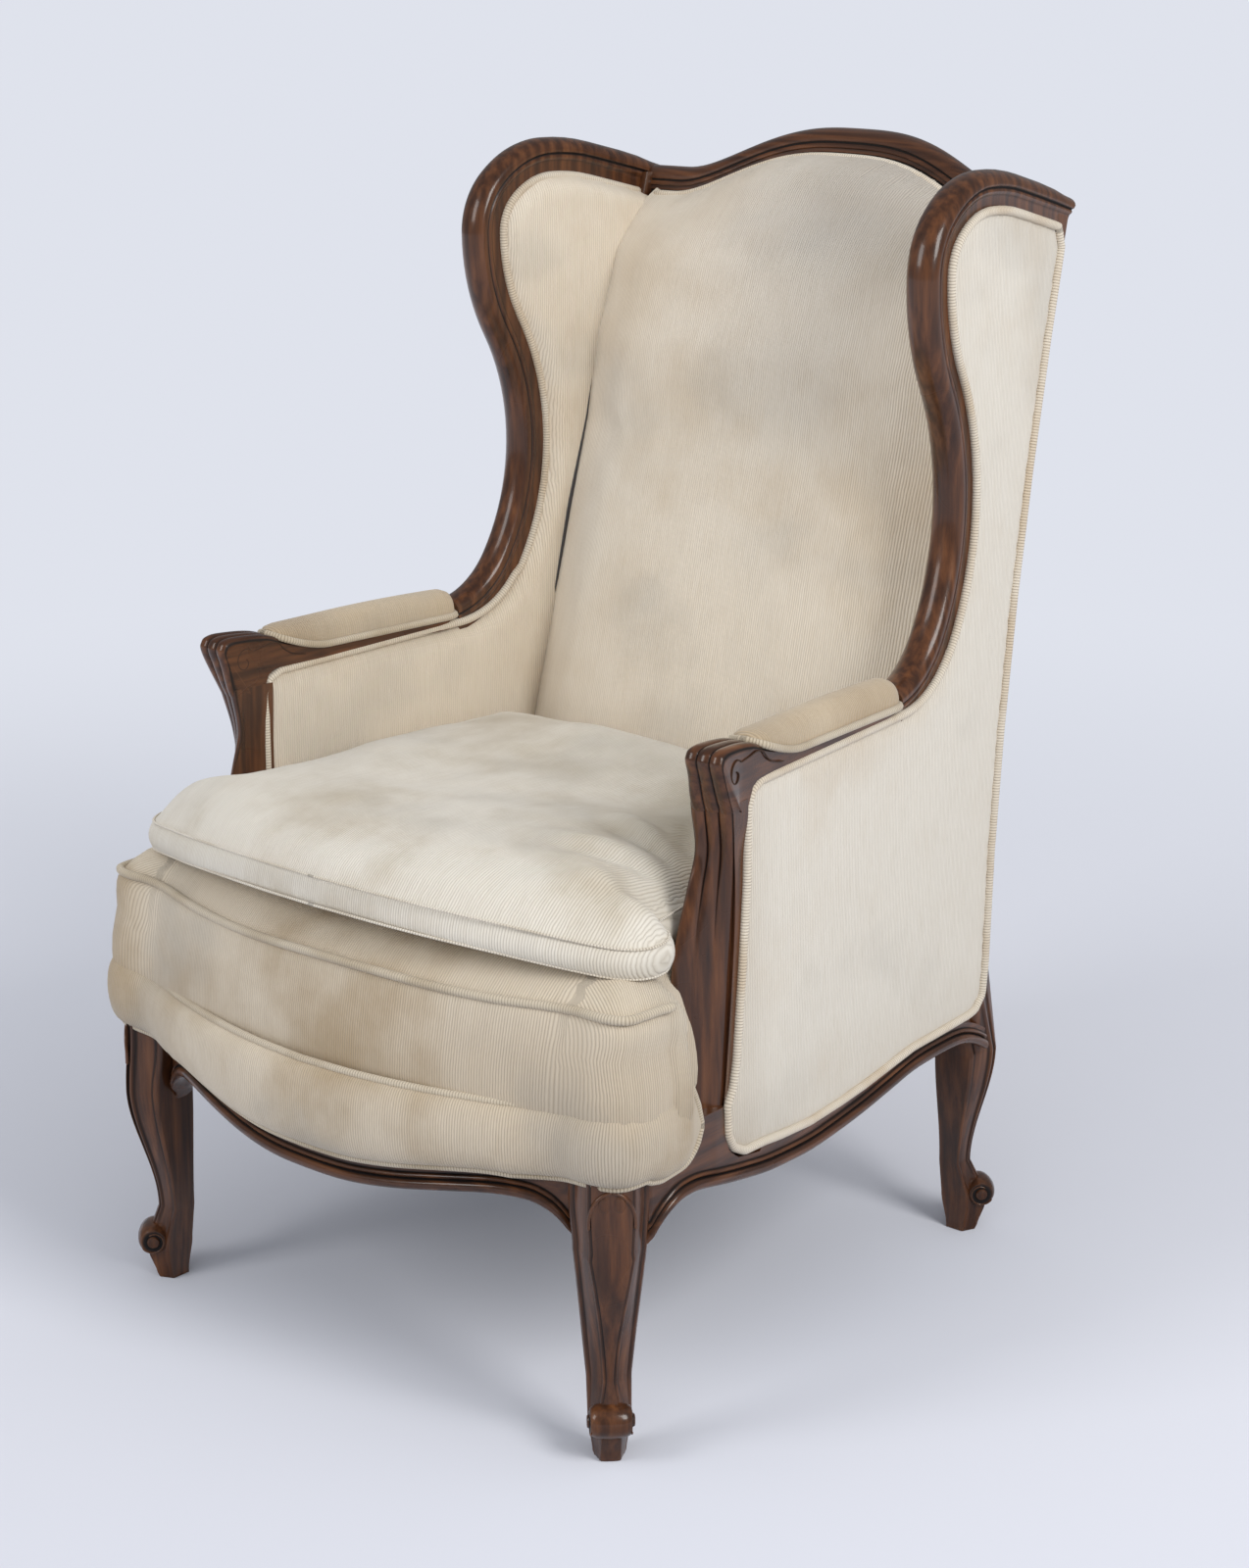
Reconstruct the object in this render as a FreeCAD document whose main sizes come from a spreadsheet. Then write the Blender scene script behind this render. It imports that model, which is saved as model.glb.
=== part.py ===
"""A wing armchair with a carved show-wood frame, stuffed back, arms and seat, and a loose cushion.

Millimetres, +Z up, the front of the chair towards -Y, the origin on the floor under its middle.
Left and right are those of someone who looks at the chair from the front: right is +X.
"""
import FreeCAD
import Part
import Sketcher
import math
import os

V = FreeCAD.Vector
doc = FreeCAD.newDocument("wing_armchair")

# The driving sizes: name, millimetres or degrees, and what it sets
SIZES = (
    ("side_half_width", 275.5, "middle of a side frame from the middle of the chair, level with the origin"),
    ("side_splay", 4.67, "degrees by which each side frame opens towards the front"),
    ("rail_thickness", 30.0, "seat rails, across the grain"),
    ("seat_rail_top", 290.0, "height of the seat rails' flat tops"),
    ("front_rail_dip", 211.0, "height of the front rail's lowest point, at its middle"),
    ("front_rail_arch", 229.0, "height of the front rail's lower edge beside the legs"),
    ("front_rail_reach", 389.0, "front face of the front rail at its middle, ahead of the origin"),
    ("front_rail_bow", 54.0, "how far the front rail's face falls back towards the legs"),
    ("side_rail_dip", 204.0, "height of the side rail's lowest point"),
    ("side_rail_arch", 229.0, "height of the side rail's lower edge beside the legs"),
    ("bead_height", 15.0, "moulded bead along the rails' lower edges"),
    ("bead_proud", 4.0, "how far that bead stands out"),
    ("front_leg_x", 275.0, "front foot from the middle plane"),
    ("front_leg_setback", 79.0, "front foot behind the front rail's face at its middle"),
    ("back_foot_x", 236.0, "back foot from the middle plane"),
    ("back_foot_y", 267.0, "back foot behind the origin"),
    ("back_block_x", 243.5, "middle of the back leg's block from the middle plane"),
    ("back_block_y", 256.0, "middle of the back leg's block behind the origin"),
    ("foot_reach", 13.0, "foot's half diagonal on the floor"),
    ("scroll_radius", 14.0, "scroll of a foot"),
    ("scroll_reach", 18.0, "centre of a foot's scroll from the foot's axis"),
    ("scroll_height", 40.0, "centre of a foot's scroll above the floor"),
    ("scroll_width", 36.0, "scroll of a front foot, from side to side"),
    ("eye_radius", 5.5, "round eye at each end of a scroll"),
    ("eye_proud", 2.5, "how far an eye stands out"),
    ("ankle_height", 72.0, "thinnest part of the legs"),
    ("knee_height", 195.0, "fullest part of the legs"),
    ("front_knee_reach", 37.0, "front knee's outer edge from the leg's axis"),
    ("front_block", 48.0, "square block at the top of a front leg"),
    ("back_knee_reach", 29.5, "back knee's outer edge from the leg's axis"),
    ("back_block", 40.0, "square block of a back leg beside the rails"),
    ("stile_depth", 40.0, "back upright from front to back at the seat"),
    ("stile_top_depth", 28.0, "back upright from front to back under the wing rail"),
    ("stile_width", 33.0, "back upright from side to side"),
    ("stile_line", 258.0, "rear face of the back uprights behind the origin, at the seat"),
    ("back_rake", 109.0, "how far the back leans rearwards at the shoulders"),
    ("back_bow", 18.0, "how far the crest rail bows rearwards in plan"),
    ("shoulder_height", 1003.5, "top of the crest rail at its low shoulders"),
    ("crest_rise", 46.5, "height of the crest's middle above its shoulders"),
    ("crest_depth", 64.0, "crest rail from its top edge down"),
    ("crest_show", 22.0, "part of the crest rail that shows above the cover"),
    ("crest_thickness", 25.0, "crest rail from front to back"),
    ("tack_rebate", 3.0, "rebate in which a cover is tacked"),
    ("wing_thickness", 32.0, "wing rail across its bead"),
    ("wing_width", 32.0, "wing rail seen from the side"),
    ("wing_bead", 14.0, "depth of the wing rail's moulded bead"),
    ("wing_peak_y", 210.0, "wing's highest point behind the origin"),
    ("wing_peak_rise", 35.5, "wing's highest point above the crest's shoulders"),
    ("wing_nose_y", 109.0, "wing's foremost point behind the origin"),
    ("wing_nose_drop", 51.5, "wing's foremost point below the crest's shoulders"),
    ("wing_waist_y", 165.0, "wing's waist behind the origin"),
    ("wing_waist_drop", 258.5, "wing's waist below the crest's shoulders"),
    ("wing_foot_rise", 13.0, "end of the wing's curved edge above the arm rail"),
    ("wing_foot_radius", 85.0, "last curve of the wing's edge above the arm"),
    ("wing_nose_radius", 78.0, "curve of the wing's edge above its foremost point"),
    ("wing_top_radius", 250.0, "curve of the wing's edge behind its peak"),
    ("wing_top_fall", 14.0, "degrees by which the wing's top falls towards the rear"),
    ("wing_back_y", 371.0, "rear end of the wing rail behind the origin"),
    ("arm_height", 582.0, "top of the arm rail under its pad"),
    ("arm_depth", 34.0, "arm rail from its top to its underside"),
    ("arm_thickness", 32.0, "arm rail from side to side"),
    ("arm_tip_rise", 21.0, "top of the arm's carved front end above the arm rail"),
    ("arm_tip_y", 218.0, "front end of the arm ahead of the origin"),
    ("arm_tip_flare", 5.0, "how far the arm's front end flares outwards"),
    ("panel_drop", 8.0, "upper edge of the side panels below the top of the arm rail"),
    ("tongue_thickness", 14.0, "thin inner part of the side frame, to which both covers are tacked"),
    ("post_back_y", 160.0, "rear face of the arm post ahead of the origin"),
    ("post_waist_y", 183.0, "arm post's outer edge at its waist, ahead of the origin"),
    ("post_belly_y", 233.0, "arm post's inner edge at its fullest, ahead of the origin"),
    ("panel_front_y", 171.0, "front edge of the side panels ahead of the origin"),
    ("panel_corner", 20.0, "rounded corners of the side panels"),
    ("panel_sweep_radius", 95.0, "curve of the side panels where the wing meets the arm"),
    ("panel_lift", 21.5, "wood that shows below the side panels"),
    ("cover_thickness", 7.0, "padded outside cover of a side, beyond the frame's tongue"),
    ("side_pad_front", 16.0, "inside pad's face beside the post, from the side frame's middle"),
    ("side_pad_back", 33.0, "inside pad's face beside the back, from the side frame's middle"),
    ("stay_height", 30.0, "hidden rail between post and back upright"),
    ("stay_level", 395.0, "underside of the hidden rails above the seat"),
    ("back_rail_height", 58.0, "back seat rail"),
    ("cross_rail_depth", 22.0, "hidden back cross rail from front to back"),
    ("block_leg", 70.0, "corner block along each rail"),
    ("block_height", 28.0, "corner block"),
    ("web_level", 246.0, "underside of the seat webbing"),
    ("web_thickness", 1.5, "webbing"),
    ("web_width", 50.0, "webbing"),
    ("web_pitch", 92.0, "seat straps from middle to middle"),
    ("back_web_pitch", 120.0, "back straps from middle to middle"),
    ("lip_thickness", 17.0, "rails' outer lip that hides the webbing"),
    ("spring_height", 100.0, "seat springs under load"),
    ("spring_radius", 40.0, "seat springs at their ends"),
    ("spring_waist", 26.0, "seat springs at the middle"),
    ("spring_wall", 0.6, "thickness of steel that weighs as much as the coiled wire"),
    ("spring_pitch", 130.0, "seat springs from middle to middle"),
    ("hessian_thickness", 1.5, "hessian"),
    ("platform_edge", 404.0, "height of the platform's piped upper edge"),
    ("platform_setback", 20.0, "how far the platform's upper edge lies behind its foot"),
    ("roll_top", 313.0, "height of the front roll's upper seam"),
    ("roll_bottom", 246.0, "height of the front roll's lower seam"),
    ("roll_end_y", 224.0, "rear end of the roll's returns ahead of the origin"),
    ("deck_crown", 28.0, "padded deck above its piped edge, where the cushion lies on it"),
    ("cushion_clearance", 0.3, "room between the deck and the cushion"),
    ("cushion_thickness", 62.0, "loose cushion"),
    ("cushion_round", 20.0, "rounding of the cushion's upper and lower edges"),
    ("cushion_setback", 15.0, "front of the cushion behind the front rail's face at its middle"),
    ("cushion_bow", 60.0, "how far the cushion's front falls back towards its corners"),
    ("cushion_ear", 296.0, "half the cushion's width ahead of the arm posts"),
    ("cushion_ear_y", 242.0, "rear edge of those ears ahead of the origin"),
    ("cushion_rear_y", 118.0, "rear of the cushion behind the origin"),
    ("cushion_gap", 8.0, "room between the cushion and each side pad"),
    ("cushion_cover", 1.5, "cover of the cushion"),
    ("back_pad_y", 164.0, "side seam of the inside back behind the origin, on top of the platform"),
    ("back_pad_rake", 116.0, "how far that seam leans rearwards up to the shoulder"),
    ("back_pad_swell", 46.0, "how far the inside back stands ahead of that seam at the seat"),
    ("back_pad_swell_top", 26.0, "how far it does at the shoulder"),
    ("back_pad_shoulder", 62.0, "rounded upper edge of the inside back"),
    ("arm_pad_length", 234.0, "arm pad"),
    ("arm_pad_front_y", 154.0, "front of the arm pad ahead of the origin"),
    ("arm_pad_width", 36.0, "arm pad"),
    ("arm_pad_height", 26.0, "arm pad at its middle"),
    ("back_cover_thickness", 3.0, "outside back cover with its lining"),
    ("dust_cover_thickness", 1.0, "dust cover under the seat"),
)

sizes = doc.addObject("Spreadsheet::Sheet", "Sizes")
for row, (name, value, meaning) in enumerate(SIZES, start=1):
    sizes.set(f"A{row}", name)
    sizes.set(f"B{row}", str(value))
    sizes.set(f"C{row}", meaning)
    sizes.setAlias(f"B{row}", name)
doc.recompute()

pieces = []


def mm(name):
    """A driving size, read from the sheet."""
    return float(sizes.get(name))


def piece(label, shape, placement=None):
    """A sub-part whose form is worked out from the sheet."""
    item = doc.addObject("Part::Feature", label)
    item.Label = label
    item.Shape = shape
    if placement:
        item.Placement = placement
    pieces.append(item)
    return item


def mirrored(source, label):
    """The left-hand twin of a right-hand sub-part."""
    twin = doc.addObject("Part::Mirroring", label)
    twin.Label = label
    twin.Source = source
    twin.Normal = V(1, 0, 0)
    pieces.append(twin)
    return twin


def pair(name, shape, placement=None):
    """A right-hand sub-part and its left-hand twin."""
    right = piece(f"{name}_right", shape, placement)
    mirrored(right, f"{name}_left")
    return right


def flat(points):
    """A flat face with straight edges."""
    return Part.Face(Part.makePolygon(list(points) + [points[0]]))


def faceted(rings):
    """A closed solid with flat facets, through a row of outlines of equally many corners."""
    faces = [flat(rings[0]), flat(rings[-1])]
    for lower, upper in zip(rings, rings[1:]):
        count = len(lower)
        for i in range(count):
            a, b, c, d = lower[i], lower[(i + 1) % count], upper[(i + 1) % count], upper[i]
            normal = (b - a).cross(c - a)
            twist = (d - a).dot(normal) / max(normal.Length, 1e-9)
            if abs(twist) < 1e-6 and normal.Length > 1e-6:
                faces.append(flat((a, b, c, d)))
                continue
            for corners in ((a, b, c), (a, c, d)):
                if (corners[1] - corners[0]).cross(corners[2] - corners[0]).Length > 1e-6:
                    faces.append(flat(corners))
    shell = Part.makeShell(faces)
    shell.sewShape()
    solid = Part.makeSolid(shell)
    return solid if solid.Volume > 0 else solid.reversed()


def refined(rows, steps):
    """Rows of numbers with further rows between them, on a smooth curve through them all."""
    fine = []
    for i in range(len(rows) - 1):
        around = rows[max(i - 1, 0)], rows[i], rows[i + 1], rows[min(i + 2, len(rows) - 1)]
        for step in range(steps):
            t = step / steps
            fine.append(tuple(b + t / 2 * (c - a + t * (2 * a - 5 * b + 4 * c - d + t * (3 * (b - c) + d - a)))
                              for a, b, c, d in zip(*around)))
    fine.append(tuple(rows[-1]))
    return fine


def chain(points):
    """A line through two points, or arcs through each three of a longer row."""
    points = [V(*p) for p in points]
    if len(points) == 2:
        return [Part.makeLine(*points)]
    edges = []
    for i in range(0, len(points) - 2, 2):
        start, middle, end = points[i:i + 3]
        bend = (middle - start).cross(end - start).Length / (end - start).Length
        straight = bend < 0.02
        edges.append(Part.makeLine(start, end) if straight else Part.Arc(start, middle, end).toShape())
    return edges


def outline(*runs):
    """A flat face inside runs of lines and arcs."""
    edges = []
    for run in runs:
        edges += run if isinstance(run[0], Part.Edge) else chain(run)
    return Part.Face(Part.Wire(edges))


def seated(shape, *neighbours):
    """The main solid of a shape, cut back to the faces of what it sits against."""
    for neighbour in neighbours:
        shape = shape.cut(neighbour)
    return max(shape.Solids, key=lambda solid: solid.Volume)


def smooth(start, end, share):
    """A value that eases from start to end as share goes from 0 to 1."""
    share = min(max(share, 0.0), 1.0)
    return start + (end - start) * share * share * (3 - 2 * share)


def spread(start, end, count):
    return [start + (end - start) * i / (count - 1) for i in range(count)]


# The side frames stand in upright planes that open towards the front.
# Their own frame has x outwards across the plank, y rearwards along it and z up.
side_place = FreeCAD.Placement(V(mm("side_half_width"), 0, 0), FreeCAD.Rotation(V(0, 0, 1), mm("side_splay")))
splay = math.radians(mm("side_splay"))


def on_side(shape):
    """A copy of a shape of the side frame, set in the chair's frame."""
    moved = shape.copy()
    moved.Placement = side_place.multiply(moved.Placement)
    return moved


def off_side(shape):
    """A copy of a shape of the chair, seen in the side frame's own frame."""
    moved = shape.copy()
    moved.Placement = side_place.inverse().multiply(moved.Placement)
    return moved


def both_sides(shape):
    return [shape, shape.mirror(V(0, 0, 0), V(1, 0, 0))]


def side_x(y, outward=0.0):
    """Distance from the middle plane to a line in the side frame, at a distance behind the origin."""
    return mm("side_half_width") + outward / math.cos(splay) - y * math.tan(splay)


def front_leg_y():
    return mm("front_leg_setback") - mm("front_rail_reach")


def arm_under():
    return mm("arm_height") - mm("arm_depth")


def panel_top():
    return mm("arm_height") - mm("panel_drop")


def post_level(share):
    """A height on the arm post, from the seat rail up to the arm."""
    return mm("seat_rail_top") + (arm_under() - mm("seat_rail_top")) * share


def back_line(height):
    """Rear face of the back: upright at the seat, and raked more and more above it."""
    start = mm("seat_rail_top")
    share = max(height - start, 0.0) / (mm("shoulder_height") - start)
    return mm("stile_line") + mm("back_rake") * share ** 1.75


def stile_face(height):
    """Front face of the back uprights."""
    start = mm("seat_rail_top")
    share = max(height - start, 0.0) / (mm("shoulder_height") - start)
    return back_line(height) - mm("stile_depth") + (mm("stile_depth") - mm("stile_top_depth")) * share


# Legs: sawn from a square block that stands square to the chair, with the outer arris worked to a wedge
def leg_section(centre, outward, height, reach, wedge, half, inner):
    """A five-sided section: flat wedge outside, two moulded faces, and the block's inner corner."""
    along = V(outward[0], outward[1], 0).normalize()
    across = V(-along.y, along.x, 0)
    base = V(centre[0], centre[1], height)
    middle = (reach - inner) / 2
    corners = ((reach, wedge), (middle, half), (-inner, 0), (middle, -half), (reach, -wedge))
    return [base + along * r + across * w for r, w in corners]


def cabriole(axis, outward, knee_reach, ankle_reach, knee_half, ankle_half, knee_inner, ankle_inner, wedge):
    """Sections of a leg from the floor to its knee."""
    ankle, knee, scroll_top = mm("ankle_height"), mm("knee_height"), mm("scroll_height")
    foot = mm("foot_reach")
    sections = []
    for share in (0.0, 0.25, 0.5, 0.75, 1.0):
        height = scroll_top * share
        reach = smooth(foot, foot + 11, share * 1.3)
        half = smooth(foot - 2, ankle_half - 1, share)
        inner = smooth(foot, ankle_inner - 3, share)
        sections.append(leg_section(axis(height), outward, height, reach, 5, half, inner))
    for share in (0.0, 0.12, 0.25, 0.38, 0.5, 0.62, 0.75, 0.88, 1.0):
        height = ankle + (knee - ankle) * share
        reach = smooth(ankle_reach, knee_reach, share)
        half = ankle_half + (knee_half - ankle_half) * share
        inner = smooth(ankle_inner, knee_inner, share)
        flat_half = 3 + (wedge - 3) * share ** 1.5
        sections.append(leg_section(axis(height), outward, height, reach, flat_half, half, inner))
    return sections


def scroll(axis, outward, width):
    """The rolled scroll of a foot, with an eye at each end."""
    along = V(outward[0], outward[1], 0).normalize()
    across = V(-along.y, along.x, 0)
    height = mm("scroll_height")
    centre = V(*axis(height), height) + along * mm("scroll_reach")
    roll = Part.makeCylinder(mm("scroll_radius"), width, centre - across * (width / 2), across)
    eye_length = width + 2 * mm("eye_proud")
    eye = Part.makeCylinder(mm("eye_radius"), eye_length, centre - across * (eye_length / 2), across)
    return roll.fuse(eye)


def front_axis(height):
    return mm("front_leg_x"), front_leg_y()


def back_axis(height):
    """The back leg's axis, which drifts outwards below the seat."""
    share = (height - mm("ankle_height")) / (mm("knee_height") - mm("ankle_height"))
    x = smooth(mm("back_foot_x"), mm("back_block_x"), share)
    y = smooth(mm("back_foot_y"), mm("back_block_y"), share)
    return x, y


def front_leg():
    outward = (1, -1)
    half_block = mm("front_block") / 2
    diagonal = half_block * math.sqrt(2)
    sections = cabriole(front_axis, outward, mm("front_knee_reach"), 12, 29, 19, 24, 21, 16)
    for height in (mm("knee_height") + 38, mm("knee_height") + 66, mm("seat_rail_top")):
        sections.append(leg_section(front_axis(height), outward, height, 34, 15, diagonal, diagonal))
    return faceted(sections).fuse(scroll(front_axis, outward, mm("scroll_width")))


def stile_section(height):
    """The back upright, square to the side frame, with its outer rear arris taken off as on the leg below."""
    outside = mm("stile_width") / 2 - 4
    inside = outside - mm("stile_width")
    rear, front, arris = back_line(height), stile_face(height), 4
    corners = ((outside - arris, rear), (inside, rear), (inside, front), (outside, front), (outside, rear - arris))
    return [side_place.multVec(V(x, y, height)) for x, y in corners]


def back_leg():
    outward = (1, 1)
    half = mm("back_block") / 2 * math.sqrt(2)
    sections = cabriole(back_axis, outward, mm("back_knee_reach"), 8, half, 17, half + 1, 22, 5)
    for height in spread(mm("seat_rail_top"), mm("shoulder_height") - 5, 9):
        sections.append(stile_section(height))
    return faceted(sections).fuse(scroll(back_axis, outward, mm("scroll_width") - 4))


# Wing: its outer edge is a row of tangent arcs, seen from the side
def wing_arcs():
    """From the foot up: centre, radius, the angles of both ends, and whether the arc bulges forward."""
    shoulder = mm("shoulder_height")
    waist_y, waist = mm("wing_waist_y"), shoulder - mm("wing_waist_drop")
    nose_y, nose = mm("wing_nose_y"), shoulder - mm("wing_nose_drop")
    peak_y, peak = mm("wing_peak_y"), shoulder + mm("wing_peak_rise")
    half_y, half_z = (waist_y - nose_y) / 2, (nose - waist) / 2
    serpent = (half_y ** 2 + half_z ** 2) / (2 * half_y)
    turn = math.degrees(math.atan2(half_z, serpent - half_y))
    hollow = (waist_y - serpent, waist)
    bulge = (nose_y + serpent, nose)
    small = mm("wing_foot_radius")
    foot_z = mm("arm_height") + mm("wing_foot_rise") + small
    foot = (hollow[0] + math.sqrt((serpent - small) ** 2 - (waist - foot_z) ** 2), foot_z)
    foot_angle = math.degrees(math.atan2(foot[1] - hollow[1], foot[0] - hollow[0]))
    tight = mm("wing_nose_radius")
    run, rise = peak_y - nose_y, peak - nose
    wide = ((run - tight) ** 2 + rise ** 2 - tight ** 2) / (2 * (rise - tight))
    nose_centre, peak_centre = (nose_y + tight, nose), (peak_y, peak - wide)
    meet = math.degrees(math.atan2(nose_centre[1] - peak_centre[1], nose_centre[0] - peak_centre[0]))
    top = mm("wing_top_radius")
    return ((foot, small, -80, foot_angle, False), (hollow, serpent, foot_angle, turn, False),
            (bulge, serpent, 180 + turn, 180, True), (nose_centre, tight, 180, meet, True),
            (peak_centre, wide, meet, 90, True), ((peak_y, peak - top), top, 90, 90 - mm("wing_top_fall"), True))


def around(arc, depth, degrees, across=0.0):
    """A point of the side frame at a depth inside the wing's edge."""
    (y, z), radius, _, _, bulging = arc
    reach = radius - depth if bulging else radius + depth
    angle = math.radians(degrees)
    return V(across, y + reach * math.cos(angle), z + reach * math.sin(angle))


def wing_top_end(depth):
    """Rear ends of the straight part behind the last arc, at a depth inside the wing's edge."""
    last = wing_arcs()[-1]
    start = around(last, depth, last[3])
    fall = math.radians(mm("wing_top_fall"))
    run = (mm("wing_back_y") - start.y) / math.cos(fall)
    return start, start + V(0, math.cos(fall), -math.sin(fall)) * run


def wing_rail():
    """The rail with a moulded bead along its edge and a tongue inside the covers."""
    bead, half = mm("wing_bead"), mm("wing_thickness") / 2
    band, depth = half - mm("tack_rebate"), mm("wing_width") + 15
    profile = ((0, -9), (0, 9), (bead * 0.5, half), (bead, half), (bead, band), (depth, band), (depth, -band),
               (bead, -band), (bead, -half), (bead * 0.5, -half))
    parts = []
    for arc in wing_arcs():
        (y, z), _, start, end, _ = arc
        face = flat([around(arc, u, start, n) for u, n in profile])
        parts.append(face.revolve(V(0, y, z), V(1, 0, 0), end - start))
    last = wing_arcs()[-1]
    start, end = wing_top_end(0)
    face = flat([around(last, u, last[3], n) for u, n in profile])
    parts.append(face.extrude((end - start) * 1.15))
    rail = parts[0].multiFuse(parts[1:])
    square_end = Part.makeBox(80, 100, 200, V(-40, mm("wing_back_y"), 900))
    seat_start, seat_end = wing_top_end(mm("wing_width"))
    along = (seat_end - seat_start).normalize()
    corners = (seat_start + along * 76, seat_end + along * 30, seat_end + along * 30 - V(0, 0, 60),
               seat_start + along * 76 - V(0, 0, 60))
    over_stile = flat([V(-40, p.y, p.z) for p in corners]).extrude(V(80, 0, 0))
    return rail.cut(square_end).cut(over_stile)


def rail_edge(y):
    """Lower edge of a side rail: shallow curve between the two legs."""
    dip, arch = mm("side_rail_dip"), mm("side_rail_arch")
    spots = ((-330, 0.6), (-288, 0.75), (-262, 0.88), (-240, 0.88), (-216, 0.76), (-187, 0.52), (-141, 0.2),
             (-110, 0.08), (-63, 0.0), (-14, 0.12), (27, 0.28), (70, 0.52), (113, 0.76), (157, 0.8),
             (200, 0.7), (232, 0.3), (262, -0.4))
    for (y0, s0), (y1, s1) in zip(spots, spots[1:]):
        if y <= y1:
            share = s0 + (s1 - s0) * (y - y0) / (y1 - y0)
            return dip + (arch - dip) * share
    return dip


def upper_run():
    """Inner edge of the show wood, from the wing's rear top down to the arm's underside."""
    depth, top, sweep = mm("wing_width"), panel_top(), mm("panel_sweep_radius")
    arcs = wing_arcs()
    start = wing_top_end(depth)[0]
    fall = math.radians(mm("wing_top_fall"))
    corner = start + V(0, math.cos(fall), -math.sin(fall)) * 76
    edges = [Part.makeLine(corner, start)]
    for arc in reversed(arcs[2:]):
        middle = (arc[2] + arc[3]) / 2
        edges.append(Part.Arc(*[around(arc, depth, a) for a in (arc[3], middle, arc[2])]).toShape())
    hollow, (centre_y, centre_z), radius = arcs[1], arcs[1][0], arcs[1][1] + depth
    low_z = top + sweep
    low_y = centre_y + math.sqrt((radius - sweep) ** 2 - (centre_z - low_z) ** 2)
    leave = math.degrees(math.atan2(low_z - centre_z, low_y - centre_y))
    edges.append(Part.Arc(*[around(hollow, depth, a) for a in (hollow[3], (hollow[3] + leave) / 2, leave)]).toShape())
    half_way = math.radians((leave - 90) / 2)
    edges.append(Part.Arc(around(hollow, depth, leave),
                          V(0, low_y + sweep * math.cos(half_way), low_z + sweep * math.sin(half_way)),
                          V(0, low_y, top)).toShape())
    return edges, corner, V(0, low_y, top)


def side_opening(x, inside):
    """Outline of a side's cover, at a distance from the side frame's middle."""
    top, front, corner = panel_top(), -mm("panel_front_y"), mm("panel_corner")
    upper, rear_top, arm_start = upper_run()
    inner = corner * (1 - math.sqrt(0.5))
    runs = [upper, (tuple(arm_start), (0, front + corner, top)),
            ((0, front + corner, top), (0, front + inner, top - inner), (0, front, top - corner))]
    if inside:
        bottom = mm("seat_rail_top")
        rear = [(0, stile_face(z) + 12, z) for z in spread(bottom, rear_top.z - 8, 5)]
        runs += [((0, front, top - corner), (0, front, bottom)), ((0, front, bottom), rear[0])]
    else:
        lift = mm("panel_lift")
        edge = [(0, y, rail_edge(y) + lift - y / 40) for y in (-140, -63, 27, 90, 157)]
        front_run = [(0, front, post_level(0.74)), (0, front - 6, post_level(0.43)),
                     (0, front - 13, post_level(0.14)), (0, front - 18, 303),
                     (0, front - 27, 289), (0, front - 26, 259), edge[0]]
        heel_run = [edge[-1], (0, 215, 241), (0, 230, 243), (0, 246, 256), (0, back_line(290) - 8, 290)]
        rear = [(0, back_line(z) - 8, z) for z in spread(mm("seat_rail_top"), rear_top.z - 8, 5)]
        runs += [((0, front, top - corner), front_run[0]), front_run, edge, heel_run]
    runs += [rear, (rear[-1], tuple(rear_top))]
    face = outline(*runs)
    face.translate(V(x, 0, 0))
    return face


def arm_rail():
    """The arm: its side view and its plan, worked from one plank."""
    under, top = arm_under(), mm("arm_height")
    tip_top = top + mm("arm_tip_rise")
    tip, half, flare = -mm("arm_tip_y"), mm("arm_thickness") / 2, mm("arm_tip_flare")
    rear = 262
    ridge = [(0, tip + 20, under), (0, tip + 9, under + 21), (0, tip, under + 43), (0, tip + 4, tip_top - 1),
             (0, tip + 20, tip_top + 2), (0, tip + 54, tip_top - 1), (0, tip + 88, top + 8), (0, tip + 130, top + 1),
             (0, tip + 178, top)]
    side = outline(ridge, (ridge[-1], (0, rear, top - 5)), ((0, rear, top - 5), (0, rear, under)),
                   ((0, rear, under), ridge[0]))
    flared = [(half, -130, 0), (half + 1.5, -180, 0), (half + flare, tip - 4, 0)]
    plan = outline(((half - 4, rear, 0), (half, 60, 0)), ((half, 60, 0), flared[0]), flared,
                   (flared[-1], (-half - 1, tip - 4, 0)), ((-half - 1, tip - 4, 0), (-half, -130, 0)),
                   ((-half, -130, 0), (-half, 60, 0)), ((-half, 60, 0), (-half + 4, rear, 0)),
                   ((-half + 4, rear, 0), (half - 4, rear, 0)))
    plan.translate(V(0, 0, under - 5))
    side.translate(V(-40, 0, 0))
    return side.extrude(V(80, 0, 0)).common(plan.extrude(V(0, 0, 80)))


def arm_post():
    """The post, drawn from the rail up to the arm: waisted, with its belly towards the seat."""
    rear, waist_y, belly_y = -mm("post_back_y"), -mm("post_waist_y"), -mm("post_belly_y")
    rows = ((0.0, 15, waist_y - 17, belly_y + 3), (0.17, 14, waist_y - 11, belly_y),
            (0.43, 13, waist_y - 4, belly_y), (0.58, 12, waist_y, belly_y + 7),
            (0.74, 12, waist_y, belly_y + 21), (0.86, 14, waist_y - 5, belly_y + 31),
            (1.0, 18, waist_y - 14, belly_y + 26))
    rings = []
    for share, outer, outer_y, inner_y in refined(rows, 2):
        corners = ((outer, outer_y), (-15, inner_y), (-15, rear), (13, rear))
        rings.append([V(n, y, post_level(share)) for n, y in corners])
    return faceted(rings)


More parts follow.
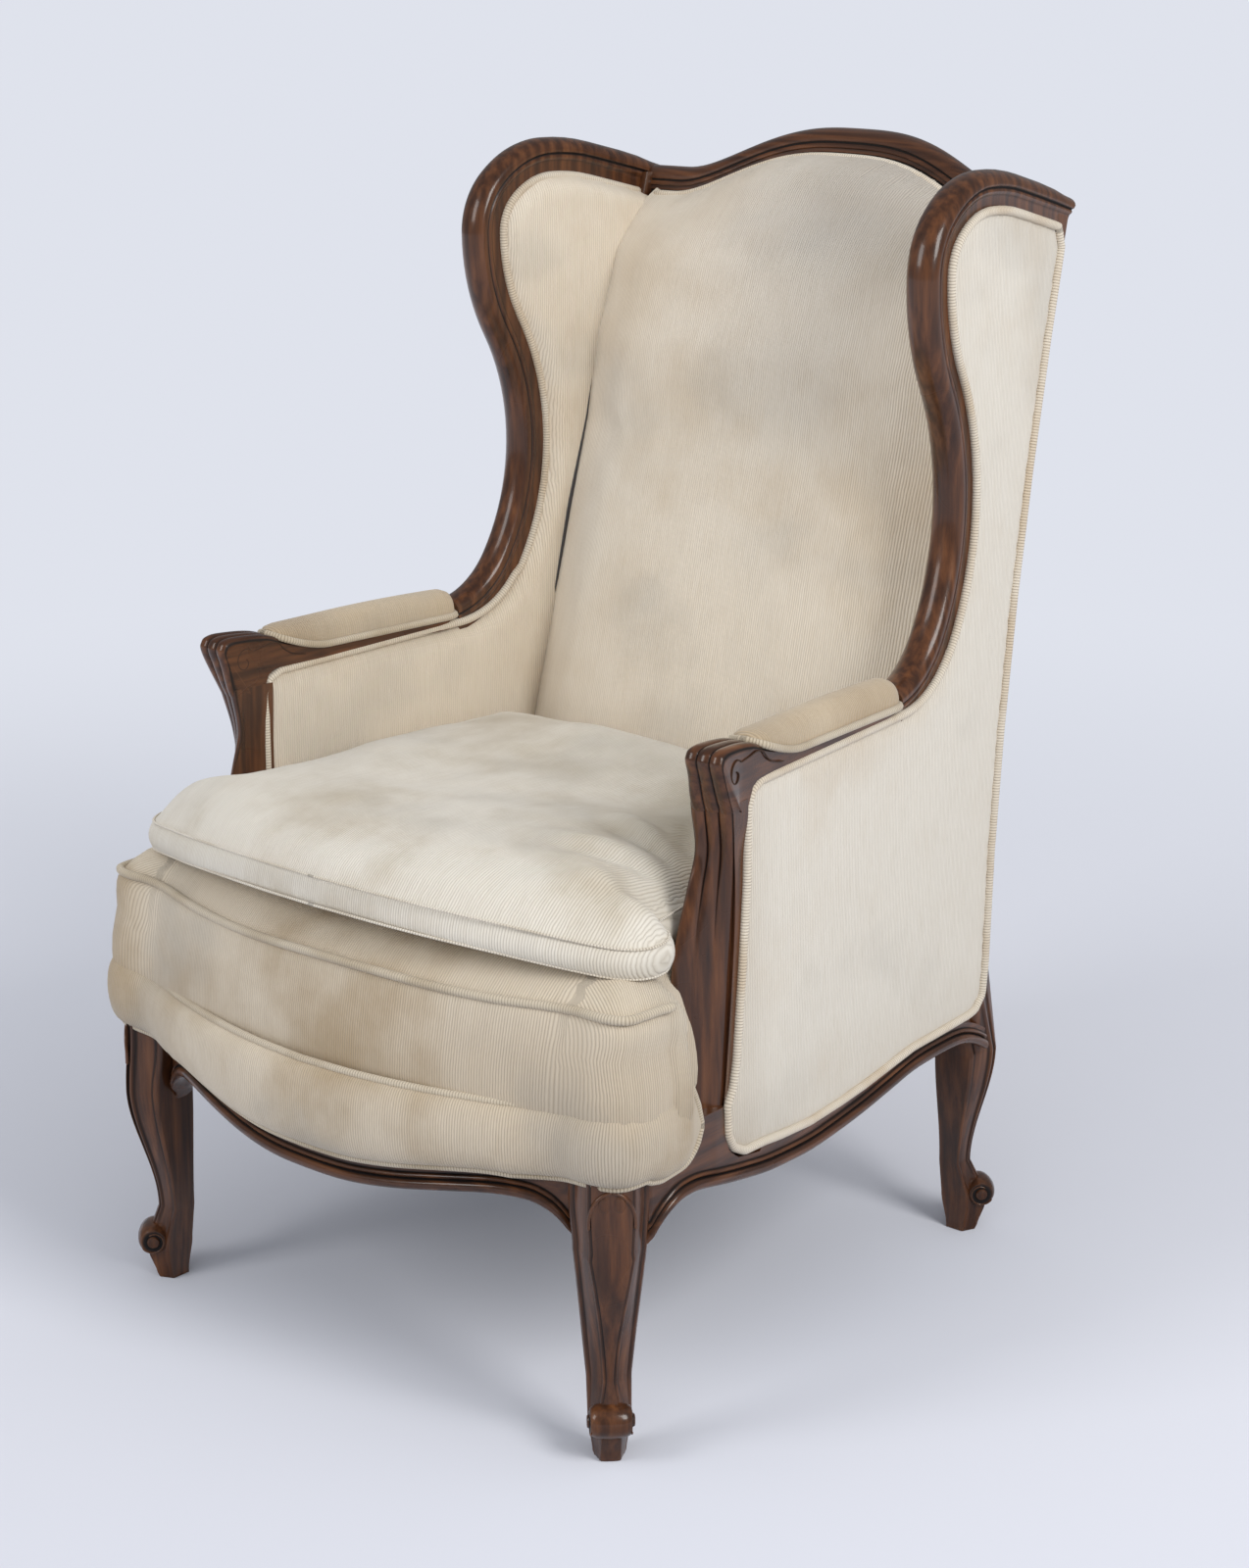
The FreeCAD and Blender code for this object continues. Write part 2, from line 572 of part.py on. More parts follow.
def side_rail():
    """A side seat rail: upper edge straight, lower edge cut to a curve, with a bead along it."""
    half, top, proud, high = mm("rail_thickness") / 2, mm("seat_rail_top"), mm("bead_proud"), mm("bead_height")
    end = front_leg_y() + 10
    stops = (end, end + 38, -216, -141, -63, 27, 113, 157, 200, 228, 250)
    edge = [(0, y, rail_edge(y)) for y in stops]
    upper = [(0, y, rail_edge(y) + high) for y in reversed(stops)]
    front, rear = edge[0][1], edge[-1][1]
    plank_side = outline(edge, (edge[-1], (0, rear, top)), ((0, rear, top), (0, front, top)),
                         ((0, front, top), edge[0]))
    bead_side = outline(edge, (edge[-1], upper[0]), upper, (upper[-1], edge[0]))

    def plan(reach, back):
        shoulder = [(reach, end + 90, 0), (reach - 3.5, end + 55, 0), (reach - 15, end, 0)]
        face = outline(((-back, end, 0), (-back, 250, 0)), ((-back, 250, 0), (reach, 250, 0)),
                       ((reach, 250, 0), shoulder[0]), shoulder, (shoulder[-1], (-back, end, 0)))
        face.translate(V(0, 0, 190))
        return face.extrude(V(0, 0, 110))

    plank_side.translate(V(-30, 0, 0))
    bead_side.translate(V(-30, 0, 0))
    plank = plank_side.extrude(V(60, 0, 0)).common(plan(half, half))
    bead = bead_side.extrude(V(60, 0, 0)).common(plan(half + proud, half - 2))
    rebate = Part.makeBox(half, 255 - end, mm("web_level") + 3 - 190, V(-mm("lip_thickness"), end - 5, 190))
    return plank.fuse(bead).cut(rebate)


def front_line(x, setback=0.0):
    """Front face of the front rail, at a distance from the middle plane."""
    return -mm("front_rail_reach") + mm("front_rail_bow") * (x / 230) ** 2 + setback


def front_rail():
    """The front rail, bowed in plan, its lower edge cut to a shallow arch with a bead along it."""
    top, dip, arch = mm("seat_rail_top"), mm("front_rail_dip"), mm("front_rail_arch")
    rise = arch - dip
    half = [(46, 0.03), (92, 0.28), (139, 0.67), (175, 0.95), (195, 1.0), (215, 0.85), (233, 0.4), (262, -0.7)]
    spots = [(-x, s) for x, s in reversed(half)] + [(0, 0.0)] + half
    edge = [(x, 0, dip + rise * s) for x, s in spots]
    upper = [(x, 0, dip + rise * s + mm("bead_height")) for x, s in reversed(spots)]
    left, right = edge[0][0], edge[-1][0]
    plank_side = outline(edge, (edge[-1], (right, 0, top)), ((right, 0, top), (left, 0, top)),
                         ((left, 0, top), edge[0]))
    bead_side = outline(edge, (edge[-1], upper[0]), upper, (upper[-1], edge[0]))

    def plan(front, rear, low, high):
        ahead = [(x, front_line(x, front), 0) for x in (-262, 0, 262)]
        behind = [(x, front_line(x, rear), 0) for x in (262, 0, -262)]
        face = outline(ahead, (ahead[-1], behind[0]), behind, (behind[-1], ahead[0]))
        face.translate(V(0, 0, low))
        return face.extrude(V(0, 0, high - low))

    thickness, lip = mm("rail_thickness"), mm("lip_thickness")
    for face in (plank_side, bead_side):
        face.translate(V(0, -430, 0))
    plank = plank_side.extrude(V(0, 200, 0)).common(plan(0, thickness, 180, top))
    bead = bead_side.extrude(V(0, 200, 0)).common(plan(-mm("bead_proud"), lip - 4, 180, 260))
    rebate = plan(lip, thickness + 5, 180, mm("web_level") + 3)
    return plank.fuse(bead).cut(rebate)


def crest_top(x):
    """Height of the crest's top edge: a low hump between two shoulders."""
    share = min(abs(x) / 195, 1.0) ** 1.5
    return mm("shoulder_height") + mm("crest_rise") * (1 - smooth(0, 1, share))


def back_surface(x, height):
    """Rear of the chair's back: the uprights' line, bowed rearwards between them towards the top."""
    bow = mm("back_bow") * (1 - (x / 246) ** 2) * (max(height - 400, 0) / 600) ** 2
    return back_line(height) * math.cos(splay) + bow


def crest_rail():
    """The crest rail, drawn through sections from one wing to the other."""
    thick, show, deep, step = mm("crest_thickness"), mm("crest_show"), mm("crest_depth"), mm("tack_rebate")
    profile = ((thick, 9), (thick * 0.8, 2), (thick * 0.5, 0), (thick * 0.2, 2), (0, 9), (0, deep),
               (thick - step, deep), (thick - step, show), (thick, show))
    rings = []
    for x in spread(-238, 238, 19):
        top = crest_top(x)
        rings.append([V(x, back_surface(x, top - down) - forward, top - down) for forward, down in profile])
    return faceted(rings)


def arm_pad():
    """The pad on the arm, arched in section."""
    front, length, high = -mm("arm_pad_front_y"), mm("arm_pad_length"), mm("arm_pad_height")
    rows = ((0.0, 0.1, 0.62), (0.04, 0.5, 0.85), (0.14, 0.82, 0.98), (0.34, 1.0, 1.0), (0.56, 1.0, 1.0),
            (0.78, 0.94, 0.97), (0.94, 0.7, 0.85), (1.0, 0.35, 0.68))
    rings = []
    for along, rise, breadth in rows:
        y = front + length * along
        base = mm("arm_height") - 5 + 18 * max(0.0, (0.3 - along) / 0.3) ** 1.5
        top = max(mm("arm_height") + high * (0.55 + 0.45 * rise) + 13 * (1 - rise), base + 12)
        half = mm("arm_pad_width") / 2 * breadth
        arch = [V(half * math.sin(a), y, base + 9 + (top - base - 9) * math.cos(a))
                for a in (math.radians(d) for d in (90, 60, 30, 0, -30, -60, -90))]
        rings.append(arch + [V(-half, y, base), V(half, y, base)])
    return faceted(rings)


def pad_face(y):
    """How far the inside pad's face lies from the side frame's middle."""
    front, back = mm("side_pad_front"), mm("side_pad_back")
    return front + 4 * min(max((y + 171) / 324, 0), 1) + (back - front - 4) * smooth(0, 1, (y - 140) / 140)


def inside_pad():
    """The stuffed inside of a wing and arm, in one with the part beside the seat."""
    blank = side_opening(-60, True).extrude(V(60 - mm("tongue_thickness") / 2, 0, 0))
    face_run = [(-pad_face(y), y, 0) for y in (140, 175, 210, 245, 280)]
    front = (-pad_face(-171), -171, 0)
    rear = (-pad_face(400), 400, 0)
    plan = outline((front, face_run[0]), face_run, (face_run[-1], rear), (rear, (10, 400, 0)),
                   ((10, 400, 0), (10, -171, 0)), ((10, -171, 0), front))
    plan.translate(V(0, 0, 250))
    return blank.common(plan.extrude(V(0, 0, 800)))


def seat_plan(height, front, reach, rear):
    """Plan of the seat's soft edge: bowed front, rounded corners over the legs, sides along the side frames."""
    leg_x, leg_y = mm("front_leg_x"), front_leg_y()
    outward = 20 - (49 - reach) * 0.7
    corner_y = leg_y - reach * 0.8
    bow = (front + corner_y) / 250 ** 2
    half = [(x, -front + bow * x ** 2) for x in (60, 120, 185, 250)]
    flank_y = leg_y + 20
    flank_x = side_x(flank_y, outward)
    diagonal = 0.707 * reach
    half += [(leg_x, leg_y - 0.84 * reach), (leg_x + 0.4 * reach, leg_y - 0.81 * reach),
             (leg_x + diagonal, leg_y - diagonal),
             (leg_x + diagonal + (flank_x - leg_x - diagonal) * 0.75, leg_y - 0.45 * reach),
             (flank_x, flank_y), (side_x(rear, outward), rear)]
    return [V(x, y, height) for x, y in half + [(-x, y) for x, y in reversed(half)] + [(0, -front)]]


def side_cutter(points, low, high):
    """A prism of the side frame, both right and left, to take away what lies behind it."""
    face = outline(*[((*a, low), (*b, low)) for a, b in zip(points, points[1:] + points[:1])])
    return both_sides(on_side(face.extrude(V(0, 0, high - low))))


def seat_platform():
    """The sprung and stuffed seat under the cushion, hollow below where the springs stand."""
    base, seam, edge, crown = mm("seat_rail_top"), mm("roll_top"), mm("platform_edge"), mm("deck_crown")
    reach, back = mm("front_rail_reach"), mm("platform_setback")
    rows = ((base, reach, 34), (base + 10, reach + 8, 38), (seam, reach + 13, 40), (seam + 40, reach + 7, 38),
            (edge - 8, reach + 8 - back, 32), (edge, reach + 2 - back, 27), (edge + crown * 0.35, reach + 5 - back, 29),
            (edge + crown * 0.75, reach - 4 - back, 23), (edge + crown, reach - 22 - back, 12))
    solid = faceted([seat_plan(z, front, corner, 225) for z, front, corner in rows])
    well_top = mm("web_level") + 3 + mm("spring_height") + mm("hessian_thickness")
    well = Part.makeBox(410, 480, well_top - base, V(-205, -300, base))
    return solid.cut(well)


def front_roll():
    """The padded roll along the front rail, returned along the sides to the arm posts."""
    low, high, reach = mm("roll_bottom"), mm("roll_top"), mm("front_rail_reach")
    middle = (low + high) / 2
    rows = ((low, reach + 14, 46), (low + 12, reach + 18, 49), (middle, reach + 19, 50),
            (high - 12, reach + 18, 48), (high, reach + 14, 44))
    solid = faceted([seat_plan(z, front, corner, -mm("roll_end_y")) for z, front, corner in rows])
    leg = front_leg_y()
    hollow = [(0, front_line(0, 29)), (130, front_line(130, 30)), (251, leg + 16), (275, leg + 30), (275, -200)]
    inside = hollow + [(-x, y) for x, y in reversed(hollow[1:])]
    return solid.cut(flat([V(x, y, low - 5) for x, y in inside]).extrude(V(0, 0, high - low + 10)))


def shrunk(points, distance):
    """A closed plan, drawn anticlockwise, moved inwards."""
    inner = []
    for before, here, after in zip(points[-1:] + points[:-1], points, points[1:] + points[:1]):
        first, second = (here - before).normalize(), (after - here).normalize()
        left, right = V(-first.y, first.x, 0), V(-second.y, second.x, 0)
        inner.append(here + (left + right) * (distance / (1 + left.dot(right))))
    return inner


def cushion_plan():
    """A T in plan, its ears ahead of the arm posts and its outer corners rounded."""
    ear, ear_y, rear = mm("cushion_ear"), -mm("cushion_ear_y"), mm("cushion_rear_y")
    front = mm("cushion_setback") - mm("front_rail_reach")
    bow, gap, turn = mm("cushion_bow"), mm("cushion_gap"), 26
    neck = side_x(-200, -pad_face(-200)) - gap
    heel = side_x(rear, -pad_face(rear)) - gap
    half = [(x, front + bow * (x / 250) ** 2) for x in (65, 130, 200, ear - turn)]
    corner = half[-1][1] + turn
    half += [(ear - turn + turn * math.sin(a), corner - turn * math.cos(a))
             for a in (math.radians(d) for d in (35, 60, 90))]
    half += [(ear - turn + turn * math.cos(a), ear_y - turn + turn * math.sin(a))
             for a in (math.radians(d) for d in (0, 30, 60, 90))]
    half += [(neck, ear_y)]
    half += [(heel - turn + turn * math.cos(a), rear - turn + turn * math.sin(a))
             for a in (math.radians(d) for d in (0, 30, 60, 90))]
    return [V(x, y, 0) for x, y in half + [(-x, y) for x, y in reversed(half)] + [(0, front)]]


def cushion_solid(inset):
    """The loose cushion, its upper and lower edges rounded."""
    under = mm("platform_edge") + mm("deck_crown") + mm("cushion_clearance")
    low, high = under + inset, under + mm("cushion_thickness") - inset
    turn = mm("cushion_round")
    levels = [(turn * (1 - math.cos(math.radians(d))), turn * 0.8 * (1 - math.sin(math.radians(d))))
              for d in (0, 45, 90)]
    rows = [(low + up, inward) for up, inward in levels]
    rows += [(high - up, inward) for up, inward in reversed(levels)]
    rings = []
    for height, inward in rows:
        rings.append([V(p.x, p.y, height) for p in shrunk(cushion_plan(), inset + inward)])
    return faceted(rings)


def back_pad():
    """The stuffed inside back, drawn through upright sections across its width."""
    bottom, shoulder = mm("platform_edge"), mm("back_pad_shoulder")
    seam_y, rake = mm("back_pad_y"), mm("back_pad_rake")
    low_swell, high_swell = mm("back_pad_swell"), mm("back_pad_swell_top")
    half = [40, 85, 125, 160, 190, 212, 230, 243, 256]
    rings = []
    for x in [-h for h in reversed(half)] + [0] + half:
        top = crest_top(x) - mm("crest_show") + 1
        fullness = 1 - min(abs(x) / 246, 1.05) ** 5
        start = top - shoulder
        rear_top = back_surface(x, top) - mm("crest_thickness")
        ring = []
        for height in spread(bottom, start, 7):
            share = (height - bottom) / 560
            swell = low_swell + (high_swell - low_swell) * min(share, 1)
            ring.append(V(x, seam_y + rake * share ** 1.1 - swell * fullness, height))
        last = ring[-1].y
        for across, up in ((0.12, 0.35), (0.32, 0.65), (0.62, 0.88), (1.0, 1.0)):
            ring.append(V(x, last + (rear_top - last) * across, start + up * shoulder))
        bowed = [(back_surface(x, z) - back_surface(246, z), z) for z in (top - 62, 830, 690, 550, bottom)]
        ring += [V(x, stile_face(z) * math.cos(splay) + bow - 3, z) for bow, z in bowed]
        rings.append(ring)
    return faceted(rings)


def back_sheet(start, thickness, low, high, half_width, on_front):
    """A thin layer across the back, following its rake and bow."""
    rings = []
    for x in spread(-half_width, half_width, 5):
        heights = spread(low, high(x), 6)
        bows = [back_surface(x, z) - back_surface(246, z) for z in heights]
        bases = [stile_face(z) * math.cos(splay) + bow if on_front else back_surface(x, z)
                 for z, bow in zip(heights, bows)]
        near = [V(x, base + start, z) for base, z in zip(bases, heights)]
        far = [V(x, base + start + thickness, z) for base, z in zip(bases, heights)]
        rings.append(near + far[::-1])
    return faceted(rings)


# The raw members of the right-hand side, then the cuts that seat them on each other
half_tongue = mm("tongue_thickness") / 2
outer_rebate = side_opening(half_tongue, False).extrude(V(60, 0, 0))
inner_rebate = side_opening(-60, True).extrude(V(60 - half_tongue, 0, 0))

raw_arm = arm_rail()
raw_wing = wing_rail()
raw_post = arm_post()
raw_leg = front_leg()
raw_stile = back_leg()
raw_rail = side_rail()
raw_crest = crest_rail()

wing_shape = seated(raw_wing, raw_arm).cut(outer_rebate.fuse(inner_rebate))
wing_shape = seated(wing_shape)
arm_shape = seated(raw_arm, off_side(raw_stile), outer_rebate, inner_rebate)
post_shape = seated(raw_post, outer_rebate, inner_rebate)
crest_shape = seated(raw_crest, *both_sides(on_side(raw_wing)))
leg_shape = raw_leg
stile_shape = seated(raw_stile, on_side(raw_wing), crest_shape, on_side(outer_rebate))
rail_shape = seated(raw_rail, off_side(leg_shape), off_side(stile_shape), outer_rebate)
front_shape = seated(front_rail(), *both_sides(raw_leg))

front_leg_right = pair("front_leg", leg_shape)
back_leg_right = pair("back_leg", stile_shape)
front_seat_rail = piece("front_seat_rail", front_shape)
side_rail_right = pair("side_seat_rail", rail_shape, side_place)
arm_post_right = pair("arm_post", post_shape, side_place)
arm_rail_right = pair("arm_rail", arm_shape, side_place)
wing_rail_right = pair("wing_rail", wing_shape, side_place)
crest = piece("crest_rail", crest_shape)


# Upholstery of the sides, the back and the arms
side_pad_shape = seated(inside_pad(), off_side(stile_shape), off_side(crest_shape))
outside_panel = side_opening(half_tongue, False).extrude(V(mm("cover_thickness"), 0, 0))
arm_pad_shape = seated(arm_pad(), arm_shape, wing_shape)
pair("inside_side_pad", side_pad_shape, side_place)
pair("outside_side_panel", outside_panel, side_place)
pair("arm_pad", arm_pad_shape, side_place)

side_pads = both_sides(on_side(side_pad_shape))
stiles = both_sides(stile_shape)
wings = both_sides(on_side(wing_shape))

back_pad_shape = seated(back_pad(), crest_shape, *stiles, *wings, *side_pads)
piece("inside_back_pad", back_pad_shape)

behind = side_cutter([(8, 100), (80, 100), (80, 420), (8, 420)], 200, 1100)


def back_top(x):
    return crest_top(x) - mm("crest_show") - 4


outside_back_shape = seated(back_sheet(0, mm("back_cover_thickness"), 246, back_top, 272, False), crest_shape,
                            *stiles, *wings, *behind)
piece("outside_back_panel", outside_back_shape)


def under_crest(x):
    return crest_top(x) - mm("crest_depth") - 4


lining = mm("hessian_thickness")
web_foot = mm("platform_edge") + mm("deck_crown") + 3
back_hessian_shape = seated(back_sheet(-3, lining, web_foot, under_crest, 236, True), crest_shape,
                            *stiles, *side_pads, back_pad_shape)
piece("back_hessian", back_hessian_shape)
webs = []
pitch, width = mm("back_web_pitch"), mm("web_width")
lattice = back_sheet(-1.8 + lining, mm("web_thickness"), web_foot, under_crest, 236, True)
for index in (-1, 0, 1):
    webs.append(Part.makeBox(width, 300, 700, V(index * pitch - width / 2, 150, 380)))
for index in range(4):
    webs.append(Part.makeBox(500, 300, width, V(-250, 150, mm("stay_level") + 60 + index * pitch)))
straps = webs[0].multiFuse(webs[1:])
piece("back_webbing", seated(lattice.common(straps), crest_shape, *stiles, *side_pads, back_pad_shape))


# Hidden rails of the back and the sides
def plank(label, length, depth, height):
    """A plain rail: a rectangle drawn on the floor plane and raised to its height."""
    body = doc.addObject("PartDesign::Body", label)
    floor = next(f for f in body.Origin.OriginFeatures if f.Role == "XY_Plane")
    sketch = body.newObject("Sketcher::SketchObject", f"{label}_outline")
    sketch.AttachmentSupport = [(floor, "")]
    sketch.MapMode = "FlatFace"
    corners = [V(-50, -5, 0), V(50, -5, 0), V(50, 5, 0), V(-50, 5, 0)]
    for a, b in zip(corners, corners[1:] + corners[:1]):
        sketch.addGeometry(Part.LineSegment(a, b), False)
    for line in range(4):
        sketch.addConstraint(Sketcher.Constraint("Coincident", line, 2, (line + 1) % 4, 1))
    for line, way in enumerate(("Horizontal", "Vertical", "Horizontal", "Vertical")):
        sketch.addConstraint(Sketcher.Constraint(way, line))
    sketch.addConstraint(Sketcher.Constraint("Symmetric", 0, 1, 1, 2, -1, 1))
    across = sketch.addConstraint(Sketcher.Constraint("DistanceX", 0, 1, 0, 2, 100))
    sketch.renameConstraint(across, "length")
    through = sketch.addConstraint(Sketcher.Constraint("DistanceY", 1, 1, 1, 2, 10))
    sketch.renameConstraint(through, "depth")
    sketch.setExpression("Constraints.length", length)
    sketch.setExpression("Constraints.depth", depth)
    pad = body.newObject("PartDesign::Pad", f"{label}_pad")
    pad.Profile = sketch
    pad.setExpression("Length", height)
    sketch.Visibility = False
    body.Tip = pad
    return body


def fitted(label, blank, cutters, placement=None):
    """A rail cut to fit between its neighbours."""
    group = doc.addObject("Part::Feature", f"{label}_neighbours")
    group.Shape = Part.makeCompound(cutters)
    cut = doc.addObject("Part::Cut", label)
    cut.Label = label
    cut.Base = blank
    cut.Tool = group
    pieces.append(cut)
    return cut


back_rail = plank("back_rail_blank", "Sizes.side_half_width * 2 - 90", "Sizes.rail_thickness", "Sizes.back_rail_height")
back_rail.setExpression("Placement.Base.y", "Sizes.stile_line - 2 - Sizes.rail_thickness / 2")
back_rail.setExpression("Placement.Base.z", "Sizes.seat_rail_top - Sizes.back_rail_height")
cross = plank("cross_rail_blank", "Sizes.side_half_width * 2 - 90", "Sizes.cross_rail_depth", "Sizes.stay_height")
cross.setExpression("Placement.Base.y", "Sizes.stile_line - 2 - Sizes.cross_rail_depth / 2")
cross.setExpression("Placement.Base.z", "Sizes.stay_level")
stay = plank("side_stay_blank", "Sizes.tongue_thickness", "400", "Sizes.stay_height")
lift = FreeCAD.Placement(V(0, 36, mm("stay_level")), FreeCAD.Rotation())
stay.Placement = side_place.multiply(lift)
doc.recompute()
lip = Part.makeBox(600, 40, mm("web_level") + 3 - 200, V(-300, mm("stile_line") - 2 - mm("lip_thickness") - 40, 200))
back_seat_rail = fitted("back_seat_rail", back_rail, [*stiles, lip])
lower_back_rail = fitted("lower_back_rail", cross, [*stiles, *side_pads])
side_stay = fitted("side_stay_rail_right", stay, [stile_shape, on_side(post_shape)])
mirrored(side_stay, "side_stay_rail_left")
doc.recompute()

# Corner blocks glued behind the joints of the seat frame
ring = [front_shape, back_seat_rail.Shape, *both_sides(on_side(rail_shape)), *both_sides(leg_shape), *stiles]
block_low = mm("web_level") + 8


def corner_block(points):
    return flat([V(x, y, block_low) for x, y in points]).extrude(V(0, 0, mm("block_height")))


corner = mm("block_leg")
leg_y = front_leg_y()
front_block = corner_block([(250 - corner, leg_y - 35), (300, leg_y - 35), (300, leg_y + 24 + corner),
                            (256, leg_y + 24 + corner), (250 - corner, leg_y + 4)])
back_block = corner_block([(223 - corner, 250), (262, 250), (262, 236 - corner), (246, 236 - corner),
                           (223 - corner, 226)])
pair("front_corner_block", seated(front_block, *ring))
pair("back_corner_block", seated(back_block, *ring))

# Seat springing: two layers of straps under the rails, springs on them, hessian over them
web_low, web_thick = mm("web_level"), mm("web_thickness")
across = [Part.makeBox(620, mm("web_width"), web_thick, V(-310, -300 + i * mm("web_pitch"), web_low + web_thick))
          for i in range(6)]
along = [Part.makeBox(mm("web_width"), 680, web_thick, V(i * mm("web_pitch") - mm("web_width") / 2, -400, web_low))
         for i in (-2, -1, 0, 1, 2)]
webbing = across[0].multiFuse(across[1:] + along)
ring_width, ring_front = 2 * mm("side_half_width") - 7, 9 - mm("front_rail_reach")
inside_ring = seated(Part.makeBox(ring_width, 260 - ring_front, 6, V(-ring_width / 2, ring_front, web_low - 2)), *ring)
piece("seat_webbing", webbing.common(inside_ring))
dust = Part.makeBox(ring_width, 260 - ring_front, mm("dust_cover_thickness"),
                    V(-ring_width / 2, ring_front, web_low - mm("dust_cover_thickness")))
piece("dust_cover", dust.common(inside_ring))


def octagon(centre, radius, height):
    turns = [math.radians(22.5 + 45 * i) for i in range(8)]
    return [V(centre[0] + radius * math.cos(a), centre[1] + radius * math.sin(a), height) for a in turns]


def spring(x, y):
    """A waisted seat spring, as a thin tube with the weight of its wire."""
    low, high = web_low + 2 * web_thick, web_low + 2 * web_thick + mm("spring_height")
    tube = []
    for shrink in (0, mm("spring_wall")):
        rows = ((low, mm("spring_radius")), ((low + high) / 2, mm("spring_waist")), (high, mm("spring_radius")))
        tube.append(faceted([octagon((x, y), r - shrink, z) for z, r in rows]))
    return tube[0].cut(tube[1])


springs = [spring(x, y) for x in (-mm("spring_pitch"), 0, mm("spring_pitch"))
           for y in (-75 - mm("spring_pitch") - 20, -75, 75)]
piece("seat_springs", Part.makeCompound(springs))
deck = web_low + 2 * web_thick + mm("spring_height")
piece("seat_hessian", Part.makeBox(404, 470, mm("hessian_thickness"), V(-202, -295, deck)))

# The soft seat
posts = both_sides(on_side(post_shape))
beside = side_cutter([(60, -275), (16, -264), (0, -247), (-15, -241), (-15, 300), (60, 300)],
                     mm("seat_rail_top"), mm("platform_edge") + 40)
platform_shape = seated(seat_platform(), *beside, *side_pads, *stiles, *both_sides(leg_shape), back_pad_shape)
roll_shape = seated(front_roll(), platform_shape, front_shape, *both_sides(leg_shape),
                    *both_sides(on_side(rail_shape)), *posts)
piece("seat_platform", platform_shape)
piece("front_roll", roll_shape)
filling = cushion_solid(mm("cushion_cover"))
piece("seat_cushion_cover", cushion_solid(0).cut(filling))
piece("seat_cushion_fill", filling)

doc.recompute()
for item in doc.Objects:
    for state in item.State:
        if state in ("Invalid", "Error"):
            raise RuntimeError(f"{item.Label}: {state}")
os.makedirs("parts", exist_ok=True)
for item in pieces:
    if item.Shape.isNull() or not item.Shape.isValid():
        raise RuntimeError(f"{item.Label} has no sound shape")
for item in pieces:
    item.Shape.exportStep(f"parts/{item.Label}.step")
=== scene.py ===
"""A wing armchair: carved and polished walnut, ribbed cream covers with piped edges, and a loose cushion.

Lengths in the sections are millimetres, as on a workshop drawing, and become metres where a mesh is made.
Right is +X, the front is -Y. A side frame stands in its own upright plane, in which n points outwards.
"""

import math

import bpy
import numpy as np
from mathutils import Matrix, Vector, geometry, noise


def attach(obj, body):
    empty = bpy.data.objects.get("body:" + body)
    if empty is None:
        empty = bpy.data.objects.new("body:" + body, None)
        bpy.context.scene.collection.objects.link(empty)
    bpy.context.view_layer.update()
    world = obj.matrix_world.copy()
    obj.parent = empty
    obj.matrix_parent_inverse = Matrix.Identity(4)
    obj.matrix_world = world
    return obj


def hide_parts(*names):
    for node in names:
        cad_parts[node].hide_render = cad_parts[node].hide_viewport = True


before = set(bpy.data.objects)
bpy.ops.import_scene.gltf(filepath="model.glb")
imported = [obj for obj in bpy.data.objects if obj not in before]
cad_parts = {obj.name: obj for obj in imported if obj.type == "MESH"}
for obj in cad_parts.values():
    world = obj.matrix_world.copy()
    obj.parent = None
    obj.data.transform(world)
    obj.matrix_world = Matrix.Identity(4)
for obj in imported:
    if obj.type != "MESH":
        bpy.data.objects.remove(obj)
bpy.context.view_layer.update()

# Camera, floor and light: a photographer's pale sweep, a large soft lamp to the right of the camera,
# a weaker one to the left, and an even pale room around them.


def looking(place, target):
    """Where a camera or a lamp stands, and which way it faces."""
    turn = (target - place).to_track_quat("-Z", "Y")
    return Matrix.Translation(place) @ turn.to_matrix().to_4x4()


camera_data = bpy.data.cameras.new("camera")
camera_data.sensor_fit = "VERTICAL"
camera_data.sensor_height = 36
camera_data.lens = 72.43
camera = bpy.data.objects.new("camera", camera_data)
camera.matrix_world = looking(Vector((1.8536, -2.1393, 1.3060)), Vector((0.005932, 0.025065, 0.4673)))
bpy.context.scene.collection.objects.link(camera)
bpy.context.scene.camera = camera
bpy.context.scene.view_settings.view_transform = "Standard"


class Wire:
    """A socket of a shader, so that sums on it can be written as sums."""

    def __init__(self, finish, socket):
        self.finish = finish
        self.socket = socket

    def maths(self, operation, first, second=0.0):
        return self.finish.node("Math", {"operation": operation}, {0: first, 1: second})

    def __add__(self, other):
        return self.maths("ADD", self, other)

    def __radd__(self, other):
        return self.maths("ADD", other, self)

    def __rsub__(self, other):
        return self.maths("SUBTRACT", other, self)

    def __mul__(self, other):
        return self.maths("MULTIPLY", self, other)

    def __rmul__(self, other):
        return self.maths("MULTIPLY", other, self)

    def __pow__(self, other):
        return self.maths("POWER", self, other)

    def wave(self):
        """0 to 1 and back once each time this grows by pi."""
        return self.maths("ABSOLUTE", self.maths("SINE", self))

    def between(self, low, high):
        """0 below low, 1 above high, and a smooth step from one to the other."""
        return self.finish.node("MapRange", {"interpolation_type": "SMOOTHSTEP"},
                                {"Value": self, "From Min": low, "From Max": high})


